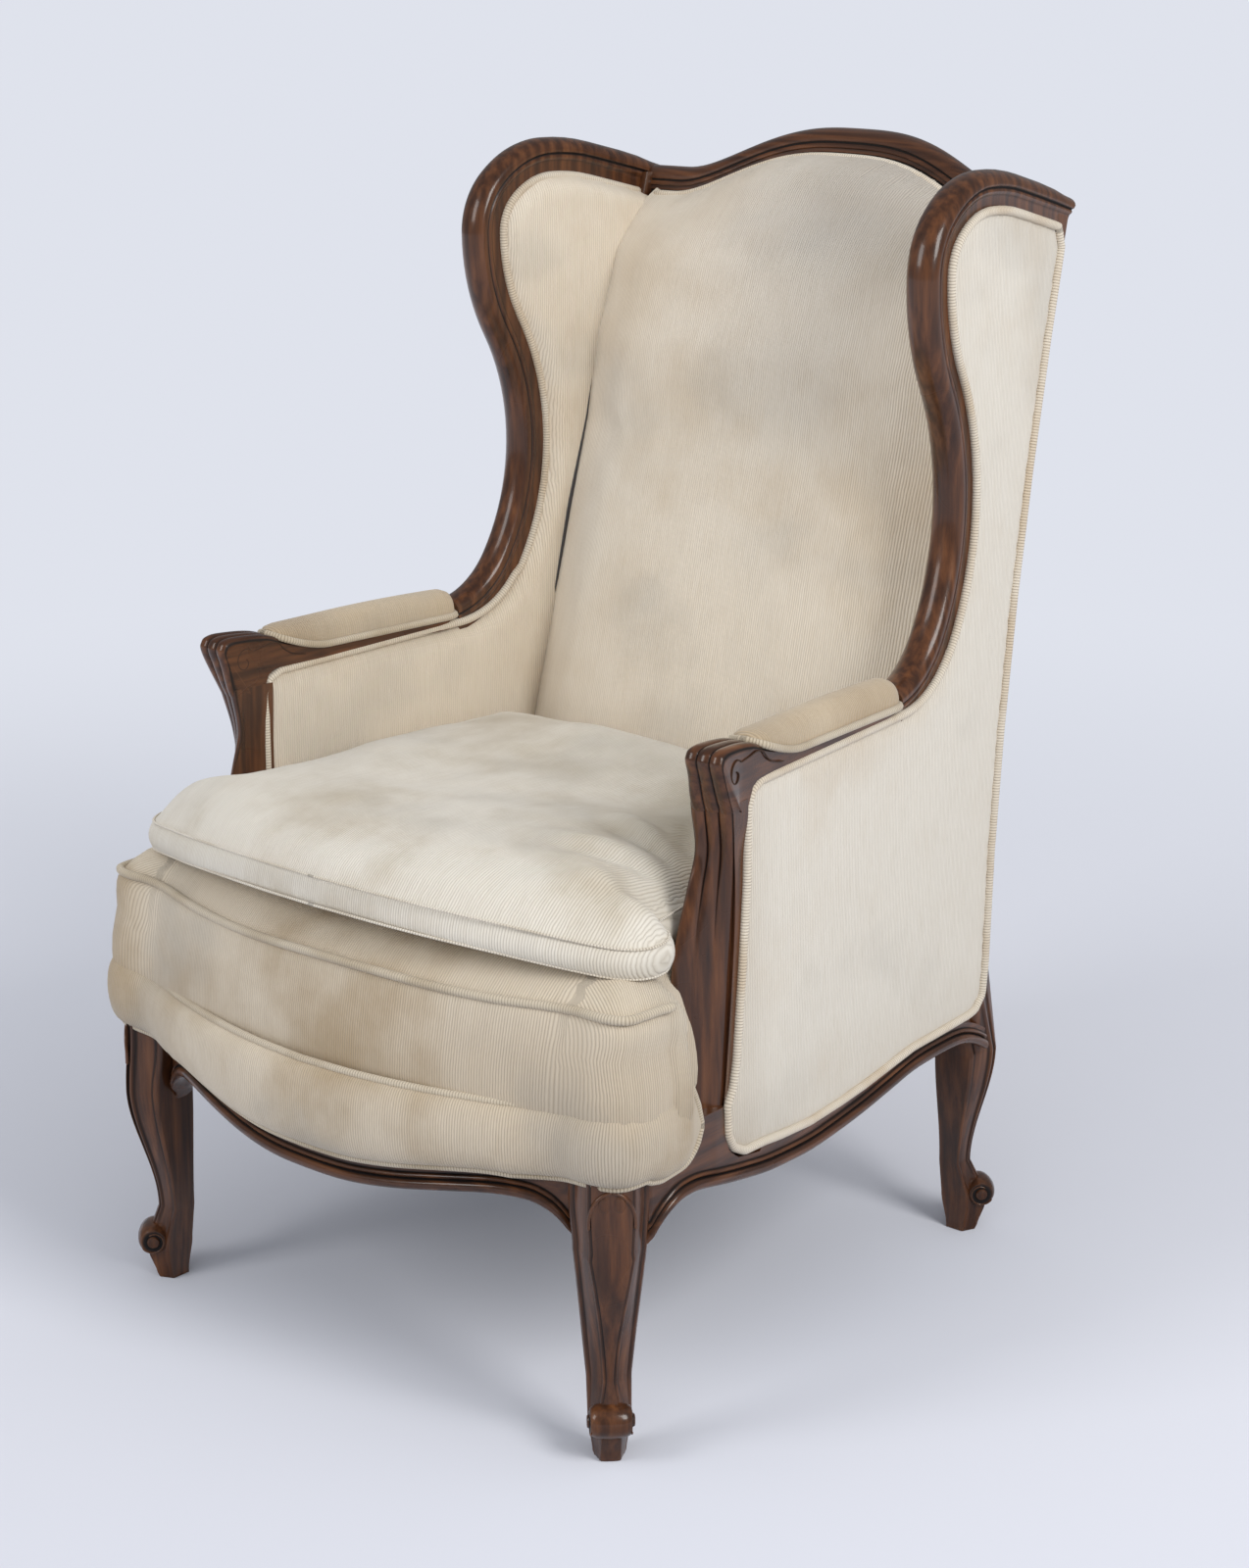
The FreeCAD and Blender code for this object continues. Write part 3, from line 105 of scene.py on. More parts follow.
class Finish:
    """A material in the making."""

    def __init__(self, name, tree=None):
        if tree is None:
            self.material = bpy.data.materials.new(name)
            self.material.use_nodes = True
            tree = self.material.node_tree
        self.tree = tree
        self.tree.nodes.clear()

    def node(self, kind, settings, inputs, output=0):
        made = self.tree.nodes.new("ShaderNode" + kind)
        for name, value in settings.items():
            if name == "stops":
                while len(made.color_ramp.elements) < len(value):
                    made.color_ramp.elements.new(1.0)
                for element, (place, colour) in zip(made.color_ramp.elements, value):
                    element.position = place
                    element.color = (*colour, 1.0)
            else:
                setattr(made, name, value)
        for key, value in inputs.items():
            if isinstance(value, Wire):
                self.tree.links.new(value.socket, made.inputs[key])
            else:
                made.inputs[key].default_value = value
        return Wire(self, made.outputs[output]) if made.outputs else made

    def mix(self, share, first, second, way="MIX"):
        colours = [c if isinstance(c, Wire) else (*c, 1.0) for c in (first, second)]
        return self.node("Mix", {"data_type": "RGBA", "blend_type": way},
                         {0: share, 6: colours[0], 7: colours[1]}, 2)

    def stretched(self, x, y, z):
        """Coordinates of the chair, in metres, times a number along each axis."""
        place = self.node("TexCoord", {}, {}, 3)
        return self.node("VectorMath", {"operation": "MULTIPLY"}, {0: place, 1: (x, y, z)})

    def mottle(self, where, scale, detail=3.0, roughness=0.5):
        return self.node("TexNoise", {},
                         {"Vector": where, "Scale": scale, "Detail": detail, "Roughness": roughness})

    def measure(self, name):
        """A number that the mesh carries at each point."""
        return self.node("Attribute", {"attribute_name": name}, {}, 2)

    def bump(self, height, depth, strength=1.0, under=None):
        inputs = {"Height": height, "Distance": depth, "Strength": strength}
        if under:
            inputs["Normal"] = under
        return self.node("Bump", {}, inputs)

    def done(self, shader):
        self.node("OutputMaterial", {}, {"Surface": shader})
        return self.material

    def plain(self, inputs):
        return self.done(self.node("BsdfPrincipled", {}, inputs))


BACKDROP = (0.74, 0.765, 0.84)
world = bpy.data.worlds.new("room")
world.use_nodes = True
bpy.context.scene.world = world
room = Finish("room", world.node_tree)
seen = room.node("LightPath", {}, {}, 0)
mirrored = room.node("LightPath", {}, {}, 3)
seen_sky = room.node("Background", {}, {"Color": (*BACKDROP, 1.0), "Strength": 1.0})
lit_sky = room.node("Background", {}, {"Color": (0.92, 0.95, 1.0, 1.0), "Strength": 0.74})
dim_sky = room.node("Background", {}, {"Color": (0.92, 0.95, 1.0, 1.0), "Strength": 0.26})
sky_mix = room.node("MixShader", {}, {0: mirrored, 1: lit_sky, 2: dim_sky})
sky_mix = room.node("MixShader", {}, {0: seen, 1: sky_mix, 2: seen_sky})
room.node("OutputWorld", {}, {"Surface": sky_mix})

bpy.ops.mesh.primitive_circle_add(vertices=96, radius=9.0, fill_type="NGON", location=(0, 0, -0.0005))
floor = bpy.context.object
floor.name = "floor"
ground = Finish("floor_paper")
far = ground.node("VectorMath", {"operation": "LENGTH"}, {0: ground.stretched(1, 1, 0)}, 1)
paper = ground.node("BsdfDiffuse", {}, {"Color": (0.665, 0.675, 0.73, 1.0), "Roughness": 1.0})
glow = ground.node("Emission", {}, {"Color": (*BACKDROP, 1.0), "Strength": 1.0})
sweep = ground.node("MixShader", {}, {0: far.between(0.6, 2.8), 1: paper, 2: glow})
floor.data.materials.append(ground.done(sweep))


def soft_lamp(name, place, size, power, colour):
    lamp = bpy.data.lights.new(name, "AREA")
    lamp.shape = "RECTANGLE"
    lamp.size, lamp.size_y = size
    lamp.energy = power
    lamp.color = colour
    holder = bpy.data.objects.new(name, lamp)
    holder.matrix_world = looking(Vector(place), Vector((0, 0, 0.5)))
    bpy.context.scene.collection.objects.link(holder)


soft_lamp("lamp_right", (2.9, -0.5, 2.3), (1.2, 1.6), 53, (1.0, 0.985, 0.96))
soft_lamp("lamp_left", (-0.9, -3.0, 2.3), (1.2, 1.6), 29, (1.0, 0.99, 0.975))

# Walnut: polished show wood, dark brown with reddish streaks along the grain, with painted shade that turns
# it nearly black in the cut lines and hollows, rubbed paler on the edges that hands and clothes reach.


def walnut(name, stretch):
    """The polish over grain that runs along the axis with the smallest number."""
    wood = Finish(name)
    where = wood.stretched(*stretch)
    figure = wood.mottle(where, 1.0, 5.0, 0.55)
    cloud = wood.mottle(wood.stretched(9, 9, 9), 1.0, 2.0)
    pores = wood.mottle(wood.stretched(*[s * 4 for s in stretch]), 1.0, 2.0)
    browns = ((0.30, (0.026, 0.0100, 0.0052)), (0.46, (0.058, 0.0205, 0.0082)),
              (0.60, (0.115, 0.0410, 0.0145)), (0.76, (0.185, 0.0720, 0.0260)))
    tone = wood.node("ValToRGB", {"stops": browns}, {"Fac": figure * 0.8 + cloud * 0.2})
    recess = wood.measure("recess")
    # Painted shade: the deeper a point lies in a cut line or hollow, the nearer black it is painted.
    tone = wood.mix(recess.between(0.1, 0.95), tone, (0.0075, 0.0050, 0.0045))
    edge = wood.node("NewGeometry", {}, {}, 7).between(0.52, 0.60)
    tone = wood.mix(edge * 0.24, tone, (0.22, 0.10, 0.048))
    tone = wood.mix(pores.between(0.60, 0.75) * 0.35, tone, (0.018, 0.010, 0.008))
    bump = wood.bump(pores, 0.0002, 0.35)
    bump = wood.bump(wood.mottle(wood.stretched(38, 38, 38), 1.0, 3.0), 0.0006, 0.16, bump)
    shine = 0.22 + 0.12 * cloud + 0.38 * recess
    return wood.plain({"Base Color": tone, "Roughness": shine, "Coat Weight": 0.45 - 0.4 * recess,
                       "Coat Roughness": 0.10, "IOR": 1.45, "Specular IOR Level": 0.36, "Normal": bump})


walnut_upright = walnut("walnut_upright", (130, 130, 8))
walnut_across = walnut("walnut_across", (8, 130, 130))
walnut_rearward = walnut("walnut_rearward", (130, 8, 130))

SPLAY = math.radians(4.67)


def aside(n, y, z):
    """A point of the right-hand side frame, in metres."""
    return Vector(((275.5 + n * math.cos(SPLAY) - y * math.sin(SPLAY)) / 1000,
                   (n * math.sin(SPLAY) + y * math.cos(SPLAY)) / 1000, z / 1000))


def upright(x, y, z):
    """A point of the chair, in metres."""
    return Vector((x / 1000, y / 1000, z / 1000))


def ease(share):
    share = min(max(share, 0.0), 1.0)
    return share * share * (3 - 2 * share)


def spread(low, high, count):
    """Numbers from low to high, with a count of even steps between them."""
    return [low + (high - low) * i / count for i in range(count + 1)]


# Angles over the rounded face of a stuffed roll or pad.
HALF_TURN = [math.radians(a) for a in spread(-90, 90, 16)]


def between(rows, place):
    """The value at a place, on straight lines through rows of place and value."""
    return float(np.interp(place, [r[0] for r in rows], [r[1] for r in rows]))


def flowing(rows, steps):
    """More rows, on a smooth curve through those given."""
    fine, last = [], len(rows) - 1
    for i in range(last):
        around = [rows[max(i - 1, 0)], rows[i], rows[i + 1], rows[min(i + 2, last)]]
        for step in range(steps):
            t = step / steps
            fine.append(tuple(
                b + t / 2 * (c - a + t * (2 * a - 5 * b + 4 * c - d + t * (3 * (b - c) + d - a)))
                for a, b, c, d in zip(*around)))
    return fine + [tuple(rows[-1])]


def dab(u, v, at_u, at_v, wide, high):
    """1 at one place, falling off softly all round it."""
    return math.exp(-((u - at_u) / wide) ** 2 - ((v - at_v) / high) ** 2)


def dome(gap, reach, power=2):
    """Rises from 0 at an edge to 1 at some reach from it, steeply at first."""
    return 1 - (1 - min(gap / reach, 1)) ** power


def both_halves(half):
    """A whole plan from its right-hand half, which starts on the middle line."""
    return half + [(-x, y) for x, y in reversed(half[1:])]


def measure_points(piece, **measures):
    """Numbers at each point of a mesh, for its material."""
    for key, values in measures.items():
        piece.data.attributes.new(key, "FLOAT", "POINT").data.foreach_set("value", [float(v) for v in values])


def meshed(name, points, faces, sharp=40.0, **measures):
    """An object from points in metres; measures are numbers at each point, for its material."""
    mesh = bpy.data.meshes.new(name)
    mesh.from_pydata([tuple(p) for p in points], [], faces)
    mesh.validate()
    mesh.update()
    mesh.shade_smooth()
    mesh.set_sharp_from_angle(angle=math.radians(sharp))
    made = bpy.data.objects.new(name, mesh)
    measure_points(made, **measures)
    bpy.context.scene.collection.objects.link(made)
    return made


def swept(name, rings, closed=False, sharp=40.0, recess=None):
    """A closed skin over a row of rings that all have as many points."""
    size, rows = len(rings[0]), len(rings)
    points = [p for ring in rings for p in ring]
    faces = []
    for row in range(rows if closed else rows - 1):
        low, high = row * size, (row + 1) % rows * size
        faces += [(low + i, low + (i + 1) % size, high + (i + 1) % size, high + i) for i in range(size)]
    if not closed:
        faces += [tuple(reversed(range(size))), tuple(range((rows - 1) * size, rows * size))]
    shade = [s for row in recess for s in row] if recess else [0.0] * len(points)
    made = meshed(name, points, faces, sharp, recess=shade)
    outwards(made)
    return made


def outwards(made):
    """Turns a closed mesh's faces to the outside."""
    mesh = made.data
    corners = [[mesh.vertices[i].co for i in f.vertices] for f in mesh.polygons]
    volume = sum(c[0].dot(c[i].cross(c[i + 1])) for c in corners for i in range(1, len(c) - 1))
    if volume < 0:
        mesh.flip_normals()


def joined(name, *parts):
    """One object from several."""
    bpy.ops.object.select_all(action="DESELECT")
    for part in parts:
        part.select_set(True)
    bpy.context.view_layer.objects.active = parts[0]
    bpy.ops.object.join()
    parts[0].name = name
    return parts[0]


def twin(right, name):
    """The left-hand copy of a right-hand piece, not yet on any body."""
    mesh = right.data.copy()
    mesh.transform(Matrix.Scale(-1, 4, (1, 0, 0)))
    mesh.flip_normals()
    made = bpy.data.objects.new(name, mesh)
    bpy.context.scene.collection.objects.link(made)
    return made


def settle(piece, material, slot, *nodes, body="chair"):
    """Gives a piece its finish, its body and the solids that it stands for."""
    piece.data.materials.clear()
    piece.data.materials.append(material)
    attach(piece, body)
    if nodes:
        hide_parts(*nodes)
    return piece


def settle_pair(right, name, material, slot, *kinds):
    """The same for a right-hand piece and its twin; each kind names a pair of solids."""
    left = twin(right, name + "_left")
    right.name = name + "_right"
    settle(left, material, slot, *[k + "_left" for k in kinds])
    settle(right, material, slot, *[k + "_right" for k in kinds])
    return right, left


def tube(name, line, radius, around=10, closed=False):
    """A round cord along a line of points in metres; it carries the distance along it."""
    line = [Vector(p) for p in line]
    count = len(line)
    tangents = []
    for i in range(count):
        before = line[i - 1] if closed or i > 0 else line[i]
        after = line[(i + 1) % count] if closed or i < count - 1 else line[i]
        tangents.append((after - before).normalized())
    side = tangents[0].orthogonal().normalized()
    rings, runs, run = [], [], 0.0
    for i in range(count):
        side = (side - tangents[i] * side.dot(tangents[i])).normalized()
        up = tangents[i].cross(side)
        run += (line[i] - line[i - 1]).length if i else 0.0
        thick = radius * (0.45 if not closed and i in (0, count - 1) else 1.0)
        rings.append([line[i] + (side * math.cos(a) + up * math.sin(a)) * thick
                      for a in (math.tau * k / around for k in range(around))])
        runs += [run] * around
    made = swept(name, rings, closed, 80.0)
    measure_points(made, along=runs)
    return made


# Front legs: each sawn from one block of walnut. A plain wedge runs down the outer arris between two
# beads, two moulded faces end in a bead along the rail's side, and the foot rolls into a scroll with eyes.
FOOT_SCROLL, SCROLL_OUT = 40.0, 18.0


def leg_ring(axis, outward, height, reach, wedge, half, inner, depth):
    """One section, with cut lines and beads of a depth on both moulded faces, and how deep each lies."""
    along = Vector(outward).normalized()
    across = Vector((-along.y, along.x))
    middle = (reach - inner) / 2
    tip, shoulder = Vector((reach, wedge)), Vector((middle, half))
    normal = Vector((shoulder.y - tip.y, tip.x - shoulder.x)).normalized()
    cuts = ((0.0, -0.1, 0), (0.035, -0.9, 0.9), (0.07, -0.75, 0.8), (0.12, 0.15, 0), (0.17, 0.25, 0),
            (0.215, -0.6, 0.7), (0.25, -0.75, 0.7), (0.34, -0.55, 0.15), (0.55, -0.6, 0), (0.72, -0.65, 0.15),
            (0.78, -0.85, 0.75), (0.81, -0.7, 0.6), (0.87, 0.1, 0), (0.94, 0.05, 0), (1.0, -0.5, 0.1))
    face = [(tip + (shoulder - tip) * s + normal * d * depth, deep) for s, d, deep in cuts]
    back = [(shoulder + (Vector((-inner, 0)) - shoulder) * s, 0.15) for s in (0.2, 0.5, 0.85)]
    front = [(Vector((reach + 0.8 - 0.8 * s * s, wedge * s)), 0.0) for s in (0.0, 0.35, 0.7)]
    half_ring = front + face + back
    other = [(Vector((p.x, -p.y)), d) for p, d in reversed(half_ring[1:])]
    both = half_ring + [(Vector((-inner, 0)), 0.1)] + other
    x, y = axis(height)
    points = [upright(x + along.x * p.x + across.x * p.y, y + along.y * p.x + across.y * p.y, height)
              for p, _ in both]
    return points, [d * min(depth / 2.0, 1.0) for _, d in both]


def leg_rings(axis, outward, knee, ankle_reach, knee_half, ankle_half, knee_inner, ankle_inner, wedge, top):
    """Sections from the floor to the knee, and to the top of the block where the leg has one."""
    rings = []
    for share in spread(0, 1, 9):
        height = FOOT_SCROLL * share
        rings.append((height, 15.5 + 8.5 * ease(share * 1.3) - (1.6 if share == 0 else 0), 8.5,
                      14.5 + (ankle_half - 15.5) * ease(share) - (1.2 if share == 0 else 0),
                      13 + (ankle_inner - 16) * ease(share), 0.3))
    for share in spread(0, 1, 34):
        rings.append((72 + 123 * share, ankle_reach + (knee - ankle_reach) * ease(share),
                      3 + (wedge - 3) * share ** 1.5, ankle_half + (knee_half - ankle_half) * share,
                      ankle_inner + (knee_inner - ankle_inner) * ease(share), 1.5 + 1.1 * share))
    made = [leg_ring(axis, outward, *ring) for ring in rings + list(top)]
    return [m[0] for m in made], [m[1] for m in made]


def foot_scroll(name, x, y, outward, width):
    """The rolled toe: a drum that swells between its ends, an eye at each end, and the roll's cut line."""
    along = Vector((*outward, 0)).normalized()
    across = Vector((-along.y, along.x, 0))
    centre = Vector((x, y, FOOT_SCROLL)) + along * SCROLL_OUT

    def on_drum(s, r, a):
        return (centre + across * s + (along * math.cos(a) + Vector((0, 0, 1)) * math.sin(a)) * r) / 1000

    # Distance from the drum's end, radius, and how deep the point lies.
    profile = ((0.0, 0.0, 0), (0.0, 3.6, 0), (0.25, 5.0, 0), (1.3, 5.8, 0.2), (2.4, 6.1, 1), (2.6, 8.6, 0.9),
               (2.9, 11.2, 0.3), (4.6, 12.8, 0), (8, 14.2, 0), (12, 15.0, 0), (width / 2 + 2.5, 15.6, 0))
    half = [(-width / 2 - 2.5 + s, r, d) for s, r, d in profile]
    row = half + [(-s, r, d) for s, r, d in reversed(half[:-1])]
    rings = [[on_drum(s, max(r, 0.05), math.tau * k / 28) for k in range(28)] for s, r, _ in row]
    parts = [swept(name, rings, recess=[[d] * 28 for _, _, d in row])]
    for end in (-1, 1):
        line = [on_drum(end * (width / 2 - 0.6), 7.0 + 5.2 * k / 29, 0.9 + k / 29 * 4.9) for k in range(30)]
        parts.append(tube(f"{name}_line", line, 0.0009, 6))
    return parts


FRONT_LEG = (275, -310)
knee_block = []
for height in (201, 208, 216, 224, 232, 240, 250, 262, 276, 290):
    above = height - 195
    knee_block.append((height, 37 - 3 * ease(above / 60), 16 + 1.5 * ease(above / 40),
                       32 + 3 * ease(above / 45), 24 + 10 * ease(above / 45), 2.6))
rings, shades = leg_rings(lambda height: FRONT_LEG, (1, -1), 37, 12, 32, 20, 24, 21, 17, knee_block)
shaft = swept("front_leg", rings, recess=shades)
scroll = foot_scroll("front_scroll", *FRONT_LEG, (1, -1), 36)
carving = []


def on_knee(reach, aside_by, z):
    """A point of the knee, from how far out it lies and how far to one side."""
    out, side = Vector((1, -1, 0)).normalized(), Vector((1, 1, 0)).normalized()
    return (Vector((*FRONT_LEG, z)) + out * reach + side * aside_by) / 1000


for hand in (-1, 1):
    drop = []
    for z, r in ((255, 0.4), (253, 3.2), (249, 4.9), (245, 5.6), (241, 5.2), (237.5, 3.6), (235.6, 0.4)):
        turns = [math.tau * k / 14 for k in range(14)]
        drop.append([on_knee(33.5 + r * 0.55 * math.cos(a), hand * 6.4 + r * math.sin(a), z) for a in turns])
    # The drops carry a little painted shade all over.
    carving.append(swept("knee_drop", drop, recess=[[0.25] * 14 for _ in drop]))
    arch = [(34.5, 19.5, 222), (34.5, 19.0, 233), (35, 16.5, 242), (35.2, 12.5, 248.5), (35.2, 7, 253),
            (35.2, 0, 255.5)]
    line = [on_knee(reach, hand * s, z) for reach, s, z in flowing(arch, 5)]
    carving.append(tube("knee_arch", line, 0.0016, 8))
leg = joined("front_leg", shaft, *scroll, *carving)
settle_pair(leg, "carved_front_leg", walnut_upright, "walnut", "front_leg")

# Back legs: each goes up into the raked upright of the back, in one piece of walnut. The upright starts at
# the seat and its rake grows with height; it is 40 mm deep at the foot and 28 mm at the top.
BACK_LEG = (236, 267)
POST_FOOT, POST_LENGTH = 290, 713.5


def back_line(z):
    """How far behind the origin the upright's rear edge lies."""
    return 258 + 109 * (max(z - POST_FOOT, 0) / POST_LENGTH) ** 1.75


def stile_face(z):
    """How far behind the origin its front edge lies."""
    return back_line(z) - 40 + 12 * max(z - POST_FOOT, 0) / POST_LENGTH


def back_axis(height):
    share = ease((height - 72) / 123)
    return BACK_LEG[0] + 7.5 * share, BACK_LEG[1] - 11 * share


BLOCK_CORNER = 28.28
rings, shades = leg_rings(back_axis, (1, 1), 29.5, 8, BLOCK_CORNER, 17, BLOCK_CORNER + 1, 22, 5, [])
shaft_count, corner_share = len(rings), len(rings[0])
for height in spread(POST_FOOT, 998, 24):
    rear, front = back_line(height), stile_face(height)
    spots = [(12.5, rear - 4), (12.5, (rear + front) / 2), (12.5, front + 2), (10.5, front), (-18.5, front),
             (-20.5, front + 2), (-20.5, rear - 2), (-18.5, rear), (0, rear), (8.5, rear)]
    loop = [aside(n, y, height) for n, y in spots + spots[:1]]
    lengths = [0.0]
    for a, b in zip(loop, loop[1:]):
        lengths.append(lengths[-1] + (b - a).length)
    ring = []
    for k in range(corner_share):
        want = lengths[-1] * k / corner_share
        spot = max(i for i, reached in enumerate(lengths[:-1]) if reached <= want)
        share = (want - lengths[spot]) / max(lengths[spot + 1] - lengths[spot], 1e-9)
        ring.append(loop[spot].lerp(loop[spot + 1], share))
    start = max(range(corner_share), key=lambda i: ring[i].x + ring[i].y)
    ring = ring[start:] + ring[:start]
    rings.append(ring)
    shades.append([0.0] * corner_share)


def wound(ring):
    return sum(a.x * b.y - b.x * a.y for a, b in zip(ring, ring[1:] + ring[:1])) > 0


for i in range(shaft_count, len(rings)):
    if wound(rings[i]) != wound(rings[shaft_count - 1]):
        rings[i] = [rings[i][0]] + list(reversed(rings[i][1:]))
shaft = swept("back_leg", rings, recess=shades)
leg = joined("back_leg", shaft, *foot_scroll("back_scroll", *BACK_LEG, (1, 1), 32))
settle_pair(leg, "carved_back_leg", walnut_upright, "walnut", "back_leg")

# Seat rails: bowed in front, straight at the sides, their lower edges sawn to shallow curves and worked
# with a bead and a fillet. The roll and the side covers hide the rest of their faces.
SIDE_EDGE = ((-330, -1.0), (-302, -0.75), (-297, -0.55), (-291, -0.22), (-283, 0.16), (-272, 0.55),
             (-258, 0.82), (-240, 0.9), (-216, 0.76), (-187, 0.52), (-141, 0.2), (-110, 0.08), (-63, 0.0),
             (-14, 0.12), (27, 0.28), (70, 0.52), (113, 0.76), (157, 0.8), (200, 0.7), (232, 0.3), (262, -0.4))
FRONT_EDGE = ((0, 0.0), (46, 0.03), (92, 0.28), (139, 0.67), (175, 0.93), (197, 0.98), (217, 0.85),
              (232, 0.45), (243, -0.15), (250, -0.75), (255, -1.2), (259, -1.6), (262, -1.9))
side_edge_rows = flowing([(y, 204 + 25 * s) for y, s in SIDE_EDGE], 4)
front_edge_rows = flowing([(x, 211 + 18 * s) for x, s in FRONT_EDGE], 4)
# How far the face stands out, how high above the rail's edge, and how deep the point lies.
MOULDING = ((-10, 0.2, 0), (0, 0.0, 0), (2.4, 0.8, 0), (3.8, 2.6, 0), (4.3, 4.8, 0), (3.9, 7.0, 0),
            (2.6, 8.6, 0), (0.6, 9.4, 0.8), (-0.6, 10.0, 1), (-0.2, 10.8, 0.8), (1.3, 11.6, 0), (2.0, 13.0, 0),
            (1.5, 14.4, 0), (0.2, 15.2, 0.7), (-0.9, 15.8, 0.8), (-1.0, 17.2, 0.2), (-0.4, 20, 0))


def side_cover_foot(y):
    """Height of the side cover's lower edge."""
    if y < -140:
        return between(((-199, 290), (-197, 262), (-190, 246), (-176, 236), (-150, 231), (-140, 229.5)), y)
    return between(side_edge_rows, y) + 21.5 - y / 40


def front_face(x):
    return -389 + 54 * (x / 230) ** 2


rings, shades = [], []
for y in spread(-302, 250, 184):
    edge = between(side_edge_rows, y)
    face = between(((-302, -6), (-296, -1.5), (-290, 3.5), (-270, 8.5), (-245, 12), (-210, 15), (0, 15)), y)
    foot = max(side_cover_foot(y), edge + 21)
    under_cover = face if foot > 280 else 7
    row = [(face + o, edge + up, d) for o, up, d in MOULDING]
    row += [(face - 0.2, max(foot, edge + 20.5), 0), (under_cover, foot + 0.4, 0.3), (under_cover, 290, 0),
            (-15, 290, 0), (-15, 250, 0), (-2, 249, 0), (-2, edge + 3, 0)]
    rings.append([aside(n, y, z) for n, z, _ in row])
    shades.append([d for _, _, d in row])
side_rail = swept("side_rail", rings, recess=shades)
settle_pair(side_rail, "moulded_side_rail", walnut_rearward, "walnut", "side_seat_rail")
rings, shades = [], []
for x in spread(-259, 259, 192):
    edge = between(front_edge_rows, abs(x))
    face = front_face(x) + 10 * ease((abs(x) - 246) / 10)
    row = [(face - o, edge + up, d) for o, up, d in MOULDING]
    row += [(face, 290, 0), (face + 30, 290, 0), (face + 30, 250, 0), (face + 17, 249, 0),
            (face + 17, edge + 3, 0)]
    rings.append([upright(x, y, z) for y, z, _ in row])
    shades.append([d for _, _, d in row])
front_rail = swept("moulded_front_rail", rings, recess=shades)
settle(front_rail, walnut_across, "walnut", "front_seat_rail")

# Arm posts: waisted, with three reeds that run down from the arm's end and die out over the post's foot.
REEDS, REED_POINTS = 3, 9


def reeded():
    """Shares across a reeded face, how far each lies below the reeds' crowns, and how much painted shade it
    gets.
    """
    row = []
    for i in range(REEDS * REED_POINTS + 1):
        share = i / (REEDS * REED_POINTS)
        rise = abs(math.sin(math.pi * REEDS * share)) ** 0.55
        row.append((share, 1 - rise, max(0.0, 1 - rise * 1.8)))
    return row


rings, shades = [], []
# Height, how far out the outer edge stands, and how far forward the outer and inner edges reach.
post_rows = ((290, 15, -200, -230), (335, 14, -194, -233), (400, 13, -187, -233), (440, 12, -183, -226),
             (481, 12, -183, -212), (513, 14, -188, -202), (548, 18, -197, -207), (556, 18.5, -199, -208))
for z, outer, outer_y, inner_y in flowing(post_rows, 8):
    start, end = Vector((outer, outer_y)), Vector((-15 - 1.8 * ease((z - 490) / 60), inner_y))
    cut = 0.22 + 0.78 * ease((z - 395) / 110)
    run = end - start
    normal = Vector((run.y, -run.x)).normalized()
    normal = normal if normal.y < 0 else -normal
    hollow = 4.5 * (1 - cut)
    row = [(start + run * s - normal * (2.9 * low * cut + hollow * (2 * s - 1) ** 4), deep * cut ** 1.5)
           for s, low, deep in reeded()]
    row += [(Vector((end.x, inner_y + (-160 - inner_y) * s)), 0.0) for s in (0.12, 0.5, 1.0)]
    cheek = 13 + 4.6 * ease((z - 500) / 48)
    stop = between(((289, -198.5), (303, -190), (325, -185), (400, -178), (480, -171.5)), z)
    row += [(Vector((6.5, -160)), 0.0), (Vector((6.5, stop + 2)), 0.0)]
    row += [(start.lerp(Vector((cheek, stop)), s), 0.0) for s in (1.0, 0.5, 0.12)]
    rings.append([aside(p.x, p.y, z) for p, _ in row])
    shades.append([d for _, d in row])
settle_pair(swept("arm_post", rings, recess=shades), "reeded_arm_post", walnut_upright, "walnut", "arm_post")

# Arm rails: sawn to a curve, flared in front, where the reeds turn over the end and a volute is cut into
# each cheek.
ridge = flowing(((-199, 548), (-209, 569), (-218, 591), (-217, 599), (-212, 604), (-198, 605.5), (-164, 602),
                 (-130, 590), (-88, 583), (-40, 582)), 5)
ridge += [(y, 582 - 5 * max(y - 60, 0) / 202) for y in range(-20, 265, 12)]


def arm_cheek_foot(y):
    """Height at which the covers meet the arm's cheek."""
    if y < -171:
        return 548.5
    return 569 if y > -151 else 549 + 20 * math.sqrt(1 - ((-151 - y) / 20) ** 2)


rings, shades = [], []
for i, (y, z) in enumerate(ridge):
    before, after = Vector(ridge[max(i - 1, 0)]), Vector(ridge[min(i + 1, len(ridge) - 1)])
    run = (after - before).normalized()
    normal = Vector((-run.y, run.x))
    outer = between(((-222, 21), (-180, 17.5), (-130, 16), (62, 16), (88, 6.8), (262, 6.5)), y)
    inner = -between(((-222, 17), (-130, 16), (62, 16), (88, 6.8), (262, 6.5)), y)
    skew = (1 - ease((z - 550) / 36)) * ease((-185 - y) / 10)
    cut = 2.6 * (1 - ease((y + 150) / 40))
    foot = Vector((max(y, -186), arm_cheek_foot(max(y, -186))))
    keel = Vector((foot.x, 548))
    thin = 6.5 if foot.y > 549 else outer
    row = []
    for share, low, deep in reeded():
        spot = Vector((y, z)) - normal * (low * cut + 1.5 * (2 * share - 1) ** 6)
        spot.x += skew * (2 - 10 * share)
        row.append((outer + (inner - outer) * share, spot, deep * cut / 2.6))
    edge = Vector((y, z)) - normal * 2.5
    row += [(inner, edge.lerp(foot, s), 0.0) for s in (0.1, 0.5, 1.0)]
    row += [(max(inner, -thin), foot.lerp(keel, s), 0.0) for s in (0.1, 1.0)]
    row += [(min(outer, thin), foot.lerp(keel, s), 0.0) for s in (1.0, 0.1)]
    row += [(outer, edge.lerp(foot, s), 0.0) for s in (1.0, 0.5, 0.1)]
    rings.append([aside(n, p.x, p.y) for n, p, _ in row])
    shades.append([d for _, _, d in row])
arm = swept("arm_rail", rings, recess=shades)
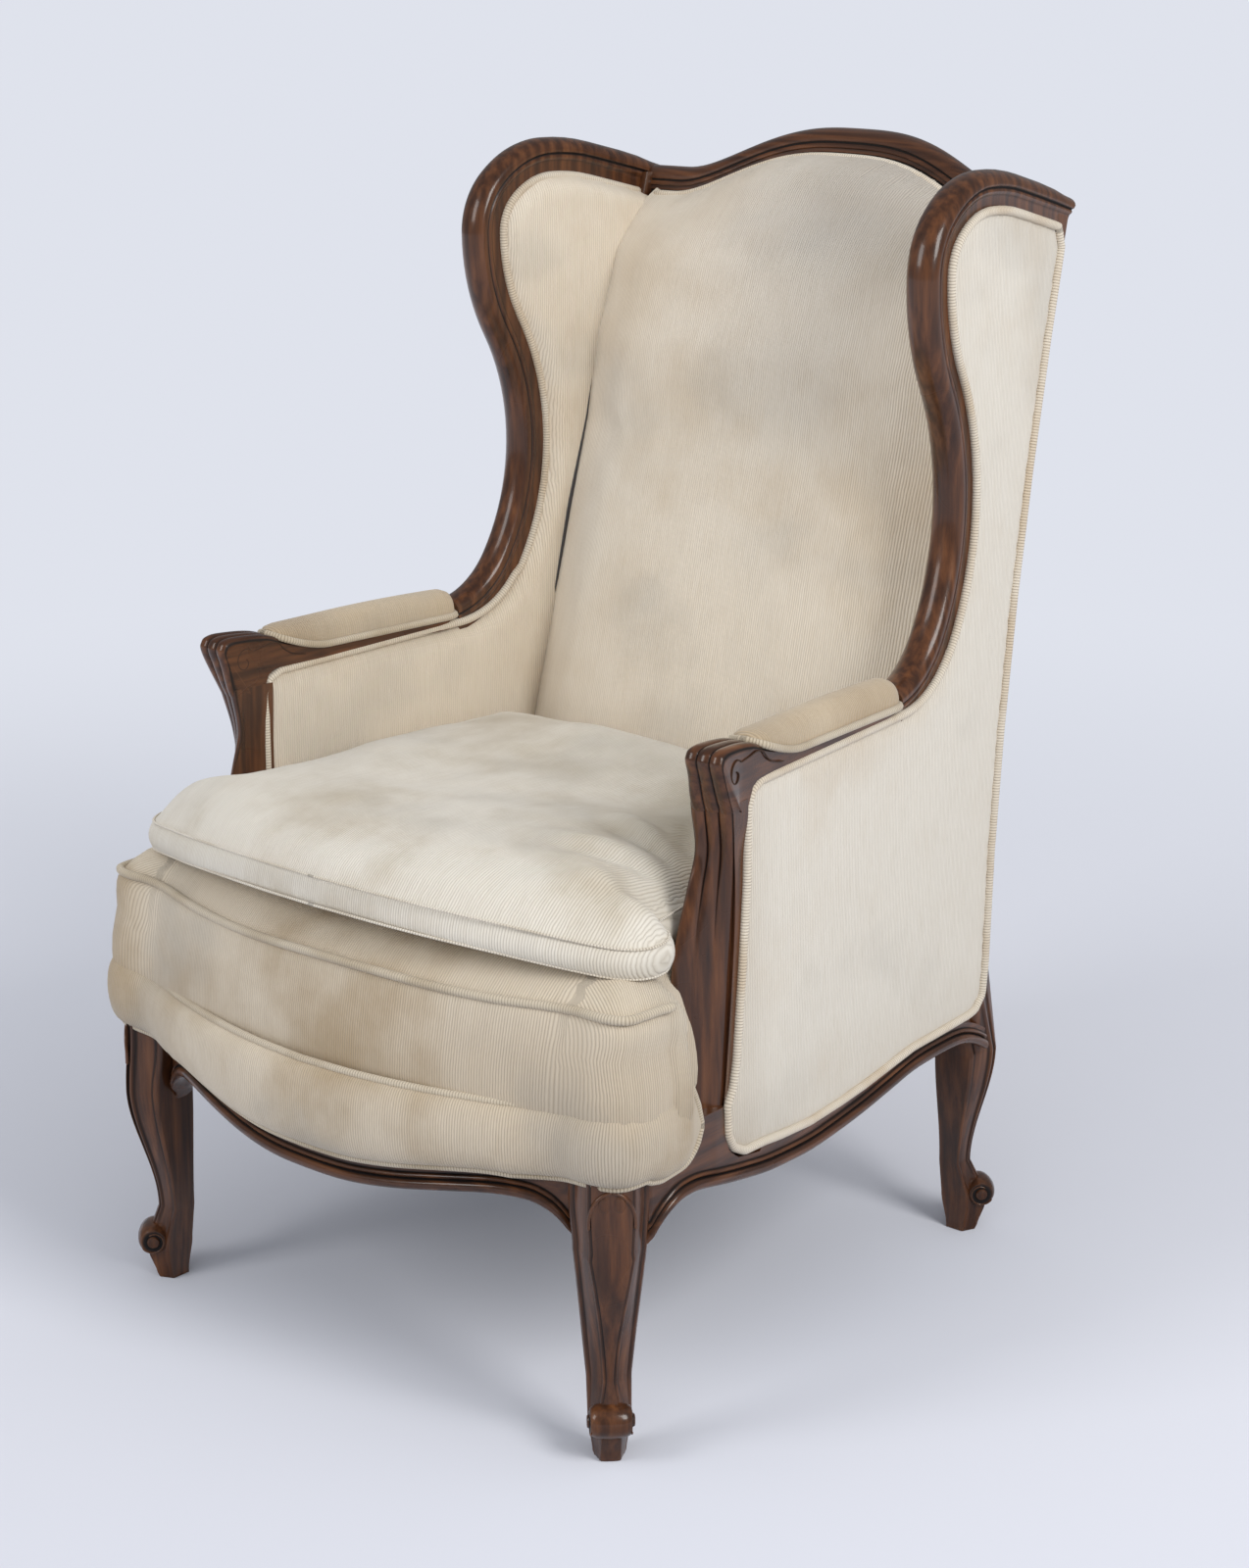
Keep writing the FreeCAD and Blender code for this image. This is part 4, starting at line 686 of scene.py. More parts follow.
cuts = []
for n in (18.2, -16.4):
    hand = math.copysign(1, n)
    flare = 0.1 if n > 0 else 0.02
    curl = []
    for k in range(27):
        turn = 1.2 - 0.26 * k
        curl.append((-192 + (2.2 + 9.5 * k / 26) * math.cos(turn),
                     581 + (2.2 + 11.5 * k / 26) * math.sin(turn)))
    lead = [(-170, 592), (-160, 594), (-151, 592), (-144, 585), (-133, 579), (-118, 576)]
    for line in (curl, flowing([curl[-1]] + lead, 5)):
        line = [aside(n + hand * (max(-178 - y, 0) * flare - 0.35), y, z) for y, z in line]
        cuts.append(tube("cut_line", line, 0.0007, 6))
# Painted shade: the cut lines are thin cords set as deep as can be, so the walnut paints them nearly black.
for cut in cuts:
    cut.data.attributes["recess"].data.foreach_set("value", [1.0] * len(cut.data.vertices))
settle_pair(joined("arm_rail", arm, *cuts), "carved_arm_rail", walnut_rearward, "walnut", "arm_rail")

# Wing rails: one serpentine line from the arm up and over to the back, a thick roll in front of a bead.
# Each arc's centre, radius, first and last angle, and whether the wood lies outside (1) or inside (-1) it.
ARCS = (((60.9, 680), 85, -80, -32.7, 1), ((-40.3, 745), 205.3, -32.7, 30.27, 1),
        ((314.3, 952), 205.3, 210.27, 180, -1), ((187, 952), 78, 180, 132.7, -1),
        ((210, 927.1), 111.9, 132.7, 90, -1), ((210, 789), 250, 90, 76, -1))


def wing_point(arc, degrees, depth):
    (y, z), radius, _, _, way = arc
    a = math.radians(degrees)
    return y + (radius + way * depth) * math.cos(a), z + (radius + way * depth) * math.sin(a)


def wing_stations(step=3.0):
    """Pairs of an arc and an angle, from the arm up to the peak and down to the rear."""
    made = []
    for arc in ARCS:
        count = max(int(abs(arc[3] - arc[2]) / step), 2)
        made += [(arc, arc[2] + (arc[3] - arc[2]) * i / count) for i in range(count)]
    return made + [(ARCS[-1], 76.0)]


# How far from the front edge, how far from the middle of the rail, and how deep the point lies.
WING_ROLL = [(12 - 12 * math.cos(math.radians(a)), 16 * math.sin(math.radians(a)), 0.0)
             for a in range(80, -81, -16)]
WING_SIDE = [(13.4, 15.4, 0.2), (14.4, 14.2, 0.9), (15.2, 13.2, 1.0), (16.0, 13.4, 0.7), (17.2, 14.3, 0),
             (18.8, 14.5, 0), (20.2, 13.8, 0), (21.4, 12.7, 0.5), (24, 12.4, 0.1), (33, 12.4, 0.1),
             (33, 7, 0.8), (46, 6.9, 0.5)]
profile = list(reversed(WING_SIDE)) + WING_ROLL + [(u, -n, d) for u, n, d in WING_SIDE]
rings = [[aside(n, *wing_point(arc, a, u)) for u, n, _ in profile] for arc, a in wing_stations()]
down = Vector((math.cos(math.radians(14)), -math.sin(math.radians(14))))
for run in (20, 45, 70, 90, 103):
    ring = []
    for u, n, _ in profile:
        start = Vector(wing_point(ARCS[-1], 76.0, u))
        spot = start + down * (run - u * 0.25)
        spot.y -= 4.0 * ease((run - 55) / 48) * max(1 - u / 20, 0)
        ring.append(aside(n, min(spot.x, 371), spot.y))
    rings.append(ring)
shades = [[d for _, _, d in profile] for _ in rings]
wing = swept("wing_rail", rings, recess=shades)
settle_pair(wing, "moulded_wing_rail", walnut_upright, "walnut", "wing_rail")

# Crest rail: humped in the middle, bowed rearwards between the wings, with the wings' roll and bead.


def crest_top(x):
    return 1003.5 + 46.5 * (1 - ease(min(abs(x) / 195, 1.0) ** 1.5))


def back_surface(x, z):
    return back_line(z) * math.cos(SPLAY) + 18 * (1 - (x / 246) ** 2) * (max(z - 400, 0) / 600) ** 2


# How far ahead of the back's surface, how far below the top, and how deep the point lies.
CREST_PROFILE = [(12.5 - 12.8 * math.sin(math.radians(a)), 9 - 9 * math.cos(math.radians(a)), 0.0)
                 for a in range(90, -91, -15)]
CREST_PROFILE += [(25.0, 11.4, 0.3), (24.0, 12.4, 1.0), (23.6, 13.4, 0.9), (24.6, 14.4, 0.1), (25.2, 16.0, 0),
                  (24.7, 17.6, 0), (23.5, 18.6, 0.5), (23.2, 22, 0.1), (22, 23, 0.9), (22, 64, 0), (0, 64, 0),
                  (0, 20, 0)]
rings = []
for x in spread(-238, 238, 80):
    rings.append([upright(x, back_surface(x, crest_top(x) - low) - ahead, crest_top(x) - low)
                  for ahead, low, _ in CREST_PROFILE])
shades = [[d for _, _, d in CREST_PROFILE] for _ in rings]
settle(swept("moulded_crest_rail", rings, recess=shades), walnut_across, "walnut", "crest_rail")

# Cover cloth: cream cotton cord with ribs 2.5 mm apart, greyed and browned by years of use. The pads carry
# the distance across the ribs, so the cords run as the upholsterer laid them.


def cord_cloth(name, light, soil_tone, soil, groove_shade=0.5, grime=(0.385, 0.290, 0.185)):
    """The cover cloth, with the tone of its soiling and how much of it there is."""
    cloth = Finish(name)
    across = cloth.measure("across")
    wander = cloth.mottle(cloth.stretched(30, 30, 30), 1.0, 2.0)
    ribs = (across + wander * 0.0016) * (math.pi / 0.0025)
    cord = ribs.wave() ** 0.7
    thread = cloth.node("CombineXYZ", {}, {0: across * 420.0, 1: cloth.measure("down") * 26.0})
    slub = cloth.mottle(thread, 1.0, 2.0, 0.6)
    broad = cloth.mottle(cloth.stretched(4.5, 4.5, 4.5), 1.0, 3.0, 0.55)
    patch = cloth.mottle(cloth.stretched(13, 13, 13), 1.0, 4.0, 0.6)
    stain = (broad * 0.65 + patch * 0.35).between(0.44, 0.68)
    tone = cloth.mix(stain * soil, light, soil_tone)
    grey = cloth.mottle(cloth.stretched(6, 5, 7), 1.0, 3.0).between(0.5, 0.72)
    tone = cloth.mix(grey * (soil * 0.55), tone, (0.47, 0.44, 0.385))
    worn = cloth.measure("worn")
    tone = cloth.mix(worn * 0.75, tone, grime)
    duller = cloth.mix(1.0, tone, (0.86, 0.83, 0.78), "MULTIPLY")
    tone = cloth.mix(slub.between(0.35, 0.75) * 0.35, tone, duller)
    # Painted shade: the grooves between the ribs are darkened.
    groove_shade_tone = cloth.mix(1.0, tone, (0.52, 0.47, 0.41), "MULTIPLY")
    tone = cloth.mix((1 - cord) * groove_shade, tone, groove_shade_tone)
    bump = cloth.bump(cord * 0.8 + slub * 0.35, 0.0009, 0.8)
    bump = cloth.bump(cloth.mottle(cloth.stretched(160, 160, 160), 1.0, 2.0), 0.0006, 0.35, bump)
    return cloth.plain({"Base Color": tone, "Roughness": 0.9, "Sheen Weight": 0.25, "Sheen Roughness": 0.5,
                        "Specular IOR Level": 0.2, "Normal": bump})


clean_cord = cord_cloth("ribbed_cloth_sides", (0.79, 0.735, 0.64), (0.66, 0.55, 0.41), 0.50, 0.30)
inner_cord = cord_cloth("ribbed_cloth_inside", (0.82, 0.73, 0.60), (0.66, 0.53, 0.38), 0.55, 0.35)
back_cord = cord_cloth("ribbed_cloth_back", (0.82, 0.735, 0.61), (0.66, 0.54, 0.39), 0.60, 0.35,
                       (0.33, 0.31, 0.29))
seat_cord = cord_cloth("ribbed_cloth_seat", (0.79, 0.74, 0.65), (0.53, 0.45, 0.33), 0.85, 0.42,
                       (0.36, 0.32, 0.23))
border_cord = cord_cloth("ribbed_cloth_border", (0.71, 0.62, 0.49), (0.46, 0.35, 0.22), 0.95, 0.50)
arm_cord = cord_cloth("ribbed_cloth_arms", (0.68, 0.56, 0.40), (0.48, 0.36, 0.23), 0.80, 0.40)


def piped_cloth(name, light, dark):
    """Piping of the same cloth: the cords run round the piping and show as fine bands across it."""
    piping = Finish(name)
    bands = (piping.measure("along") * (math.pi / 0.0027)).wave() ** 0.6
    patch = piping.mottle(piping.stretched(14, 14, 14), 1.0, 4.0).between(0.42, 0.66)
    tone = piping.mix(patch * 0.6, light, dark)
    # Painted shade: the cloth between the bands is darkened.
    tone = piping.mix((1 - bands) * 0.8, tone, piping.mix(1.0, tone, (0.46, 0.40, 0.33), "MULTIPLY"))
    return piping.plain({"Base Color": tone, "Roughness": 0.92, "Sheen Weight": 0.2,
                         "Specular IOR Level": 0.2, "Normal": piping.bump(bands, 0.0007, 0.8)})


side_piping = piped_cloth("piping_sides", (0.76, 0.68, 0.56), (0.62, 0.49, 0.34))
seat_piping = piped_cloth("piping_seat", (0.62, 0.54, 0.42), (0.45, 0.36, 0.24))


def within(points, outline):
    """Which of the points lie inside an outline."""
    x, y = points[:, 0][:, None], points[:, 1][:, None]
    a, b = outline, np.roll(outline, -1, 0)
    crosses = (a[:, 1] > y) != (b[:, 1] > y)
    with np.errstate(divide="ignore", invalid="ignore"):
        meet = (b[:, 0] - a[:, 0]) * (y - a[:, 1]) / (b[:, 1] - a[:, 1]) + a[:, 0]
    return (crosses & (x < meet)).sum(1) % 2 == 1


def reach_to(points, line, closed=True):
    """Distance from each point to a line of points."""
    a = line if closed else line[:-1]
    b = np.roll(line, -1, 0) if closed else line[1:]
    run = b - a
    length = np.maximum((run ** 2).sum(1), 1e-9)
    best = np.full(len(points), 1e9)
    for start in range(0, len(points), 2000):
        gap = points[start:start + 2000, None, :] - a[None]
        share = np.clip((gap * run).sum(2) / length, 0, 1)
        best[start:start + 2000] = np.sqrt(((gap - share[..., None] * run) ** 2).sum(2)).min(1)
    return best


def evened(line, pitch, closed=True):
    """The same line with points at an even pitch."""
    line = [tuple(p) for p in line]
    loop = np.array(line + line[:1] if closed else line, float)
    along = np.concatenate([[0], np.cumsum(np.sqrt((np.diff(loop, axis=0) ** 2).sum(1)))])
    count = max(int(round(along[-1] / pitch)), 4)
    wanted = np.linspace(0, along[-1], count + 1)
    wanted = wanted[:-1] if closed else wanted
    return np.stack([np.interp(wanted, along, loop[:, k]) for k in range(loop.shape[1])], 1)


def stuffed(name, outline, pitch, face, back, place, wall=((0.5, 0.0),), soft_edge=None, across=0, worn=None):
    """A pad inside an outline, meshed with even triangles: its face, its back and the wall between them.

    face and back give heights from the two coordinates and the distance to the soft edge; wall gives shares
    from back to face with how far the wall bulges there."""
    outline = evened(outline, pitch)
    count = len(outline)
    low, high = outline.min(0), outline.max(0)
    rows = []
    for i, v in enumerate(np.arange(low[1], high[1], pitch * 0.87)):
        rows += [(u + (i % 2) * pitch / 2, v) for u in np.arange(low[0], high[0], pitch)]
    grid = np.array(rows)
    grid = grid[within(grid, outline)]
    grid = grid[reach_to(grid, outline) > pitch * 0.6]
    flat_points = np.vstack([outline, grid])
    ring = [(i, (i + 1) % count) for i in range(count)]
    verts, _, faces, _, _, _ = geometry.delaunay_2d_cdt([Vector(p) for p in flat_points], ring, [], 1, 1e-5)
    spots = np.array([tuple(v) for v in verts])
    edge = np.array(soft_edge, float) if soft_edge is not None else outline
    gap = reach_to(spots, edge, soft_edge is None)
    top = [(u, v, face(u, v, g)) for (u, v), g in zip(spots, gap)]
    bottom = [(u, v, back(u, v, g)) for (u, v), g in zip(spots, gap)]
    size = len(spots)
    flat = top + bottom
    turned = [tuple(f) for f in faces]
    skin = turned + [tuple(size + i for i in reversed(f)) for f in turned]
    before, after = np.roll(outline, 1, 0), np.roll(outline, -1, 0)
    run = after - before
    normal = np.stack([run[:, 1], -run[:, 0]], 1) / np.maximum(np.sqrt((run ** 2).sum(1)), 1e-9)[:, None]
    area = (outline[:, 0] * after[:, 1] - after[:, 0] * outline[:, 1]).sum()
    normal = normal if area > 0 else -normal
    layers = [[size + i for i in range(count)]]
    for share, bulge in wall:
        start = len(flat)
        for i in range(count):
            u, v = outline[i] + normal[i] * bulge
            w = bottom[i][2] + (top[i][2] - bottom[i][2]) * share
            flat.append((u, v, w))
        layers.append(list(range(start, start + count)))
    layers.append(list(range(count)))
    forward = area > 0
    for lower, upper in zip(layers, layers[1:]):
        for i in range(count):
            j = (i + 1) % count
            quad = (lower[i], lower[j], upper[j], upper[i])
            skin.append(quad if forward else quad[::-1])
    points = [place(*p) for p in flat]
    values = dict(across=[p[across] / 1000 for p in flat], down=[p[1 - across] / 1000 for p in flat],
                  worn=[worn(*p) if worn else 0.0 for p in flat])
    made = meshed(name, points, skin, 60.0, **values)
    outwards(made)
    return made


def inflated(pad, pressure, cap, hold, frames=20):
    """Blows the cover up a little in a cloth simulation; hold says how free each point is, from 0 to 1."""
    scene = bpy.context.scene
    scene.frame_set(1)
    before = np.array([v.co for v in pad.data.vertices])
    cloth = pad.modifiers.new("swell", "CLOTH")
    cloth.settings.quality = 5
    cloth.settings.use_pressure = True
    cloth.settings.uniform_pressure_force = pressure
    cloth.settings.effector_weights.gravity = 0
    cloth.settings.tension_stiffness = 15
    cloth.settings.compression_stiffness = 15
    cloth.point_cache.frame_end = frames + 1
    for step in range(1, frames + 1):
        scene.frame_set(step)
    solved = pad.evaluated_get(bpy.context.evaluated_depsgraph_get()).data
    after = np.array([v.co for v in solved.vertices])
    pad.modifiers.remove(cloth)
    scene.frame_set(1)
    move = after - before
    length = np.sqrt((move ** 2).sum(1))
    share = np.minimum(1.0, cap / np.maximum(length, 1e-9)) * np.array([hold(*p) for p in before * 1000])
    pad.data.vertices.foreach_set("co", (before + move * share[:, None]).ravel())
    pad.data.update()


# Side covers: an outside panel and a stuffed inside panel on each side frame, both tacked in the rebate
# of the show wood and finished with piping laid over the tacks.


def cover_line(depth, radius=20.0):
    """The show wood's inner edge from the top of the back, round the wing, along the arm to the post."""
    line = [(336.5 - (depth - 32) * 0.2, 982.1 - (depth - 32))]
    for arc in reversed(ARCS[1:]):
        stop = -32.3 if arc is ARCS[1] else arc[2]
        count = max(int(abs(arc[3] - stop) / 3), 3)
        line += [wing_point(arc, arc[3] + (stop - arc[3]) * i / count, depth) for i in range(count + 1)]
    sweep = 100 - (depth - 32)
    line += [(80 + sweep * math.cos(math.radians(a)), 669 + sweep * math.sin(math.radians(a)))
             for a in range(-38, -91, -6)]
    top, front = 569 - (depth - 32), -171 + (depth - 32)
    line += [(front + radius, top), (front + radius * 0.3, top - radius * 0.3), (front, top - radius)]
    return line


def inside_depth(y):
    return 16 + 4 * min(max((y + 171) / 324, 0), 1) + 13 * ease((y - 140) / 140)


shown_line = cover_line(33.0)
inside_outline = shown_line + [(-170, 420), (-170, 292), (250, 292)]
inside_outline += [(stile_face(z) + 12, z) for z in (420, 600, 780, 940)]
soft_line = evened(shown_line + [(-170, 420), (-170, 292)], 6, False)


def arm_wear(y, z, depth):
    """Wear along the top of the inside arm, where sleeves rub."""
    return 0.30 * ease((z - 545) / 30) * ease((620 - z) / 40) * ease((160 - y) / 80)


def inside_face(y, z, gap):
    full = inside_depth(y)
    roll = 1 - min(gap / 20, 1)
    return 8.5 + (full - 8.5 + 2.0 * min(gap / 90, 1)) * (1 - roll ** 2.4)


inside = stuffed("inside_side", inside_outline, 9, inside_face, lambda y, z, gap: 7.2,
                 lambda y, z, depth: aside(-depth, y, z), soft_edge=soft_line, worn=arm_wear)
for piece in settle_pair(inside, "inside_cover", inner_cord, "ribbed_cloth", "inside_side_pad"):
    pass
FOOT_PLACES = (-138, -110, -63, -14, 27, 70, 113, 157)
REAR_LEVELS = (290, 400, 520, 640, 760, 880, 960)
outside_outline = shown_line + [(-171, 480), (-177, 400), (-184, 325), (-189, 303), (-197, 289), (-196, 262),
                                (-186, 246), (-168, 236)]
outside_outline += [(y, side_cover_foot(y) + 1) for y in FOOT_PLACES] + [(215, 243), (230, 245), (244, 258)]
outside_outline += [(back_line(z) - 10, z) for z in REAR_LEVELS]


def outside_face(y, z, gap):
    return 11.0 + 3.6 * dome(gap, 14) + 2.2 * min(gap / 120, 1)


outside = stuffed("outside_side", outside_outline, 9, outside_face, lambda y, z, gap: 7.2,
                  lambda y, z, depth: aside(depth, y, z),
                  worn=lambda y, z, depth: 0.25 * ease((-120 - y) / 50) + 0.12 * ease((320 - z) / 60))
for piece in settle_pair(outside, "outside_cover", clean_cord, "ribbed_cloth", "outside_side_panel"):
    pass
pipe = evened(cover_line(36.2) + [(-166.8, 480), (-166.8, 400)], 5, False)
pipe = tube("inside_piping", [aside(-12.6, y, z) for y, z in pipe], 0.0042)
settle_pair(pipe, "inside_piping", side_piping, "ribbed_cloth")
pipe = cover_line(35.0) + [(-168, 480), (-174, 400), (-181, 325), (-186, 303), (-194, 289), (-193, 263),
                           (-184, 248), (-167, 239)]
pipe += [(y, side_cover_foot(y) + 4) for y in FOOT_PLACES] + [(214, 246), (228, 248), (241, 260)]
pipe += [(back_line(z) - 13, z) for z in REAR_LEVELS]
pipe = tube("outside_piping", [aside(14.3, y, z) for y, z in evened(pipe, 5)], 0.0041, closed=True)
settle_pair(pipe, "outside_piping", side_piping, "ribbed_cloth")

# Back: the stuffed inside back between the two wings, and a plain tacked cover behind it.
SEAM = ((400, 162), (473, 176), (600, 202), (677, 218), (763, 240), (845, 252), (925, 277), (985, 312))
SEAM_X = ((400, 249), (473, 244), (600, 234), (677, 230), (763, 226), (845, 224), (925, 221), (985, 219))


def seam_y(z):
    return between(SEAM, z)


def lining_y(x, z):
    """The hessian across the back straps, against which the inside back is stuffed."""
    return stile_face(z) * math.cos(SPLAY) + back_surface(x, z) - back_surface(246, z) - 1.8


left_side = [(-between(SEAM_X, z), z) for z in (985, 925, 845, 763, 677, 600, 520, 440)]
crown = [(x, crest_top(x) - 23.5) for x in range(-216, 217, 18)]
back_outline = [(-249, 408), (249, 408)] + [(-x, z) for x, z in reversed(left_side)]
back_outline += list(reversed(crown)) + left_side


def back_front(x, z, gap):
    """How far behind the origin the face of the inside back lies."""
    top = crest_top(x) - 23.5
    share = min(max((z - 404) / 560, 0), 1)
    edge = between(SEAM_X, z)
    swell = (40 - 20 * share) * (1 - min(abs(x) / edge, 1) ** 4.2)
    face = seam_y(min(z, 985)) - swell
    rear = back_surface(x, top) - 25
    turn = 1 - min(max((top - z) / 55, 0), 1)
    return face + (rear - face) * (1 - math.sqrt(max(1 - turn ** 2.2, 0)))


def head_wear(x, z, y):
    """Greyed cloth where heads have leant."""
    return 0.85 * dab(x, z, 70, 990, 150, 85) + 0.28 * dab(x, z, 60, 830, 110, 60)


def back_slack(x, y, z):
    """How freely the inside back may swell: not at its seams, its top or its rear."""
    if y >= stile_face(z) - 12:
        return 0
    return min(max((between(SEAM_X, z) - abs(x)) / 60, 0), 1) * min(max((crest_top(x) - 30 - z) / 60, 0), 1)


def back_place(x, z, y):
    return upright(x, y, z)


inside_back = stuffed("inside_back", back_outline, 9, back_front,
                      lambda x, z, gap: max(lining_y(x, z) - 1.2, back_front(x, z, gap) + 3),
                      back_place, worn=head_wear)
inflated(inside_back, 3.0, 0.010, back_slack)
settle(inside_back, back_cord, "ribbed_cloth", "inside_back_pad")
top_pipe = [upright(x, back_surface(x, crest_top(x) - 26) - 28.5, crest_top(x) - 26.5)
            for x in spread(-219, 219, 90)]
settle(tube("top_piping", top_pipe, 0.0042), side_piping, "ribbed_cloth")
# Painted shadow: a dark cord lies along each seam between the inside back and the wings.
dark = Finish("seam_shadow")
tone = dark.mix(dark.mottle(dark.stretched(40, 40, 40), 1.0), (0.035, 0.035, 0.04), (0.09, 0.085, 0.08))
seam_shadow_shader = dark.plain({"Base Color": tone, "Roughness": 0.9})
for name, hand in (("back_seam_shadow_left", -1), ("back_seam_shadow_right", 1)):
    line = [upright(hand * (between(SEAM_X, z) + 0.5), seam_y(z) - 2.4, z) for z in range(430, 976, 12)]
    settle(tube(name, line, 0.0024, 8), seam_shadow_shader, "ribbed_cloth")
outside_back_outline = [(-250, 250), (250, 250)] + [(246, z) for z in (420, 640, 860, 962)]
outside_back_outline += [(x, crest_top(x) - 27) for x in range(234, -235, -18)]
outside_back_outline += [(-246, z) for z in (962, 860, 640, 420)]
outside_back = stuffed("outside_back", outside_back_outline, 12,
                       lambda x, z, gap: back_surface(x, z) + 1.8 + 2.2 * min(gap / 40, 1),
                       lambda x, z, gap: back_surface(x, z) + 0.3, back_place,
                       worn=lambda x, z, y: 0.2 * ease((330 - z) / 80))
settle(outside_back, clean_cord, "ribbed_cloth", "outside_back_panel")
rim = [upright(x * 0.993, back_surface(x, z) + 2.6, z - (1.5 if z > 900 else -1.5))
       for x, z in evened(outside_back_outline, 6)]
settle(tube("outside_back_piping", rim, 0.0032, closed=True), side_piping, "ribbed_cloth")

# Seat front: a sprung and padded platform with a piped edge, and a stuffed roll over the front rail that
# returns along the sides to the arm posts.


def side_x(y, n=0.0):
    return 275.5 + n / math.cos(SPLAY) - y * math.tan(SPLAY)


def seat_front(front, corner):
    """Half of the seat's edge in plan, from the middle of the front round the corner to the side frame."""
    corner_y = -310 - corner * 0.8
    bow = (front + corner_y) / 250 ** 2
    outward = 20 - (49 - corner) * 0.7
    flank_x = side_x(-290, outward)
    far = 275 + 0.707 * corner
    return [(x, -front + bow * x ** 2) for x in (0, 60, 120, 185, 245)] + [
        (275, -310 - 0.84 * corner), (275 + 0.42 * corner, -310 - 0.79 * corner), (far, -310 - 0.68 * corner),
        (far + (flank_x - far) * 0.72, -310 - 0.40 * corner), (flank_x, -290)], outward


def round_the_front(half):
    """The whole line from the right-hand side round to the left, from a half that starts in the middle."""
    return list(reversed(half)) + [(-x, y) for x, y in half[1:]]


def roll_path():
    """Places along the middle of the roll, from the right-hand post round to the left-hand one."""
    half, outward = seat_front(389, 31)
    half = flowing(half, 10) + [(side_x(y, outward), y) for y in range(-284, -224, 6)]
    return round_the_front([tuple(p) for p in evened(half, 5, False)])


line = [Vector(p) for p in roll_path()]
count = len(line)
middle = count // 2
runs = [0.0]
for a, b in zip(line, line[1:]):
    runs.append(runs[-1] + (b - a).length)


def roll_levels(x, y, to_end):
    """Heights of the roll's lower and upper seams."""
    low = between(front_edge_rows, min(abs(x), 205)) + 26
    low += between(((205, 0), (240, 3), (275, 6), (320, 6)), abs(x))
    low = low if y < -300 else between(((-315, 261), (-287, 255), (-259, 256), (-224, 262)), y)
    high = between(((0, 314), (216, 316), (283, 321), (320, 329)), abs(x))
    high = high if y < -300 else between(((-300, 331), (-264, 335), (-246, 327), (-231, 309), (-224, 298)), y)
    middle = (low + high) / 2
    half = (high - low) / 2 * math.sqrt(max(1 - max(1 - to_end / 26, 0) ** 2, 0.004))
    return middle, half


rings, down_row, worn_row = [], [], []
low_pipe, high_pipe = [], []
faces_at = []
for i, spot in enumerate(line):
    before, after = line[max(i - 1, 0)], line[min(i + 1, count - 1)]
    run = (after - before).normalized()
    out = Vector((run.y, -run.x))
    out = out if out.dot(spot - Vector((0, -150))) > 0 else -out
    to_end = min(runs[i], runs[-1] - runs[i])
    centre, half = roll_levels(spot.x, spot.y, to_end)
    swell = 19 * (0.35 + 0.65 * ease(to_end / 40))
    dent = 1.6 * noise.noise(Vector((spot.x * 0.012, spot.y * 0.012, 3.3)))
    dent += 0.8 * noise.noise(spot.to_3d() * 0.045)
    ring = []
    for a in HALF_TURN:
        lift = math.sin(a)
        push = swell * abs(math.cos(a)) ** 0.62 + dent * math.cos(a)
        z = centre + half * lift
        p = spot + out * (push + 1.0)
        ring.append(upright(p.x, p.y, z))
    for lift in (1.0, 0.4, -0.4, -1.0):
        p = spot - out * 9
        ring.append(upright(p.x, p.y, centre + half * 0.96 * lift))
    rings.append(ring)
    faces_at.append(spot + out * (0.8 * swell))
    down_row += [p.z for p in ring]
    worn_row += [0.30 * ease((spot.x + 60) / 330) + 0.18 * ease((p.z * 1000 - 295) / 25) for p in ring]
    edge = spot + out * 5.2
    low_pipe.append(upright(edge.x, edge.y, centre - half - 0.6))
    high_pipe.append(upright(edge.x, edge.y, centre + half + 0.6))
travel = np.cumsum([0.0] + [(b - a).length / 1000 for a, b in zip(faces_at, faces_at[1:])])
across_row = np.repeat(travel - travel[middle], len(rings[0]))
roll = swept("front_roll_cover", rings, sharp=80)
measure_points(roll, across=across_row, down=down_row, worn=worn_row)
settle(roll, border_cord, "ribbed_cloth", "front_roll")
pipe = tube("roll_piping", high_pipe + list(reversed(low_pipe)), 0.0036, closed=True)
settle(pipe, seat_piping, "ribbed_cloth")


def platform_plan(front, corner):
    """The platform's edge: round the front corners, in behind the arm posts and back between the arms."""
    half, outward = seat_front(front, corner)
    half = flowing(half, 6) + [(side_x(y, outward), y) for y in (-284, -277)]
    half += [(side_x(-269, 12), -268), (side_x(-258, 2), -256), (side_x(-247, -13), -246),
             (side_x(-238, -17), -236)]
    half += [(side_x(y, -17 - 3 * min((y + 236) / 200, 1)), y) for y in (-200, -120, -40, 40, 112)]
    return both_halves(half + [(150, 116), (60, 117)])


def deck_height(x, y, gap):
    """A low dome with a little unevenness, kept under the cushion."""
    dent = 2.2 * noise.noise(Vector((x * 0.012, y * 0.012, 1.1)))
    return min(403 + 27 * dome(gap, 46) + dent, 431.5)


def border_wear(x, y, z):
    return 0.35 * ease((x + 120) / 420) * ease((410 - z) / 60) + 0.12


wall_bulge = [(0.02, 11), (0.12, 13.5), (0.2, 15.5), (0.32, 15.8), (0.45, 14.8), (0.58, 13), (0.7, 10.5),
              (0.82, 7.8), (0.9, 6.0), (0.95, 4.3), (0.985, 1.2)]
platform = stuffed("seat_platform_cover", platform_plan(372, 26.5), 8, deck_height, lambda x, y, gap: 291.0,
                   upright, wall=wall_bulge, worn=border_wear)


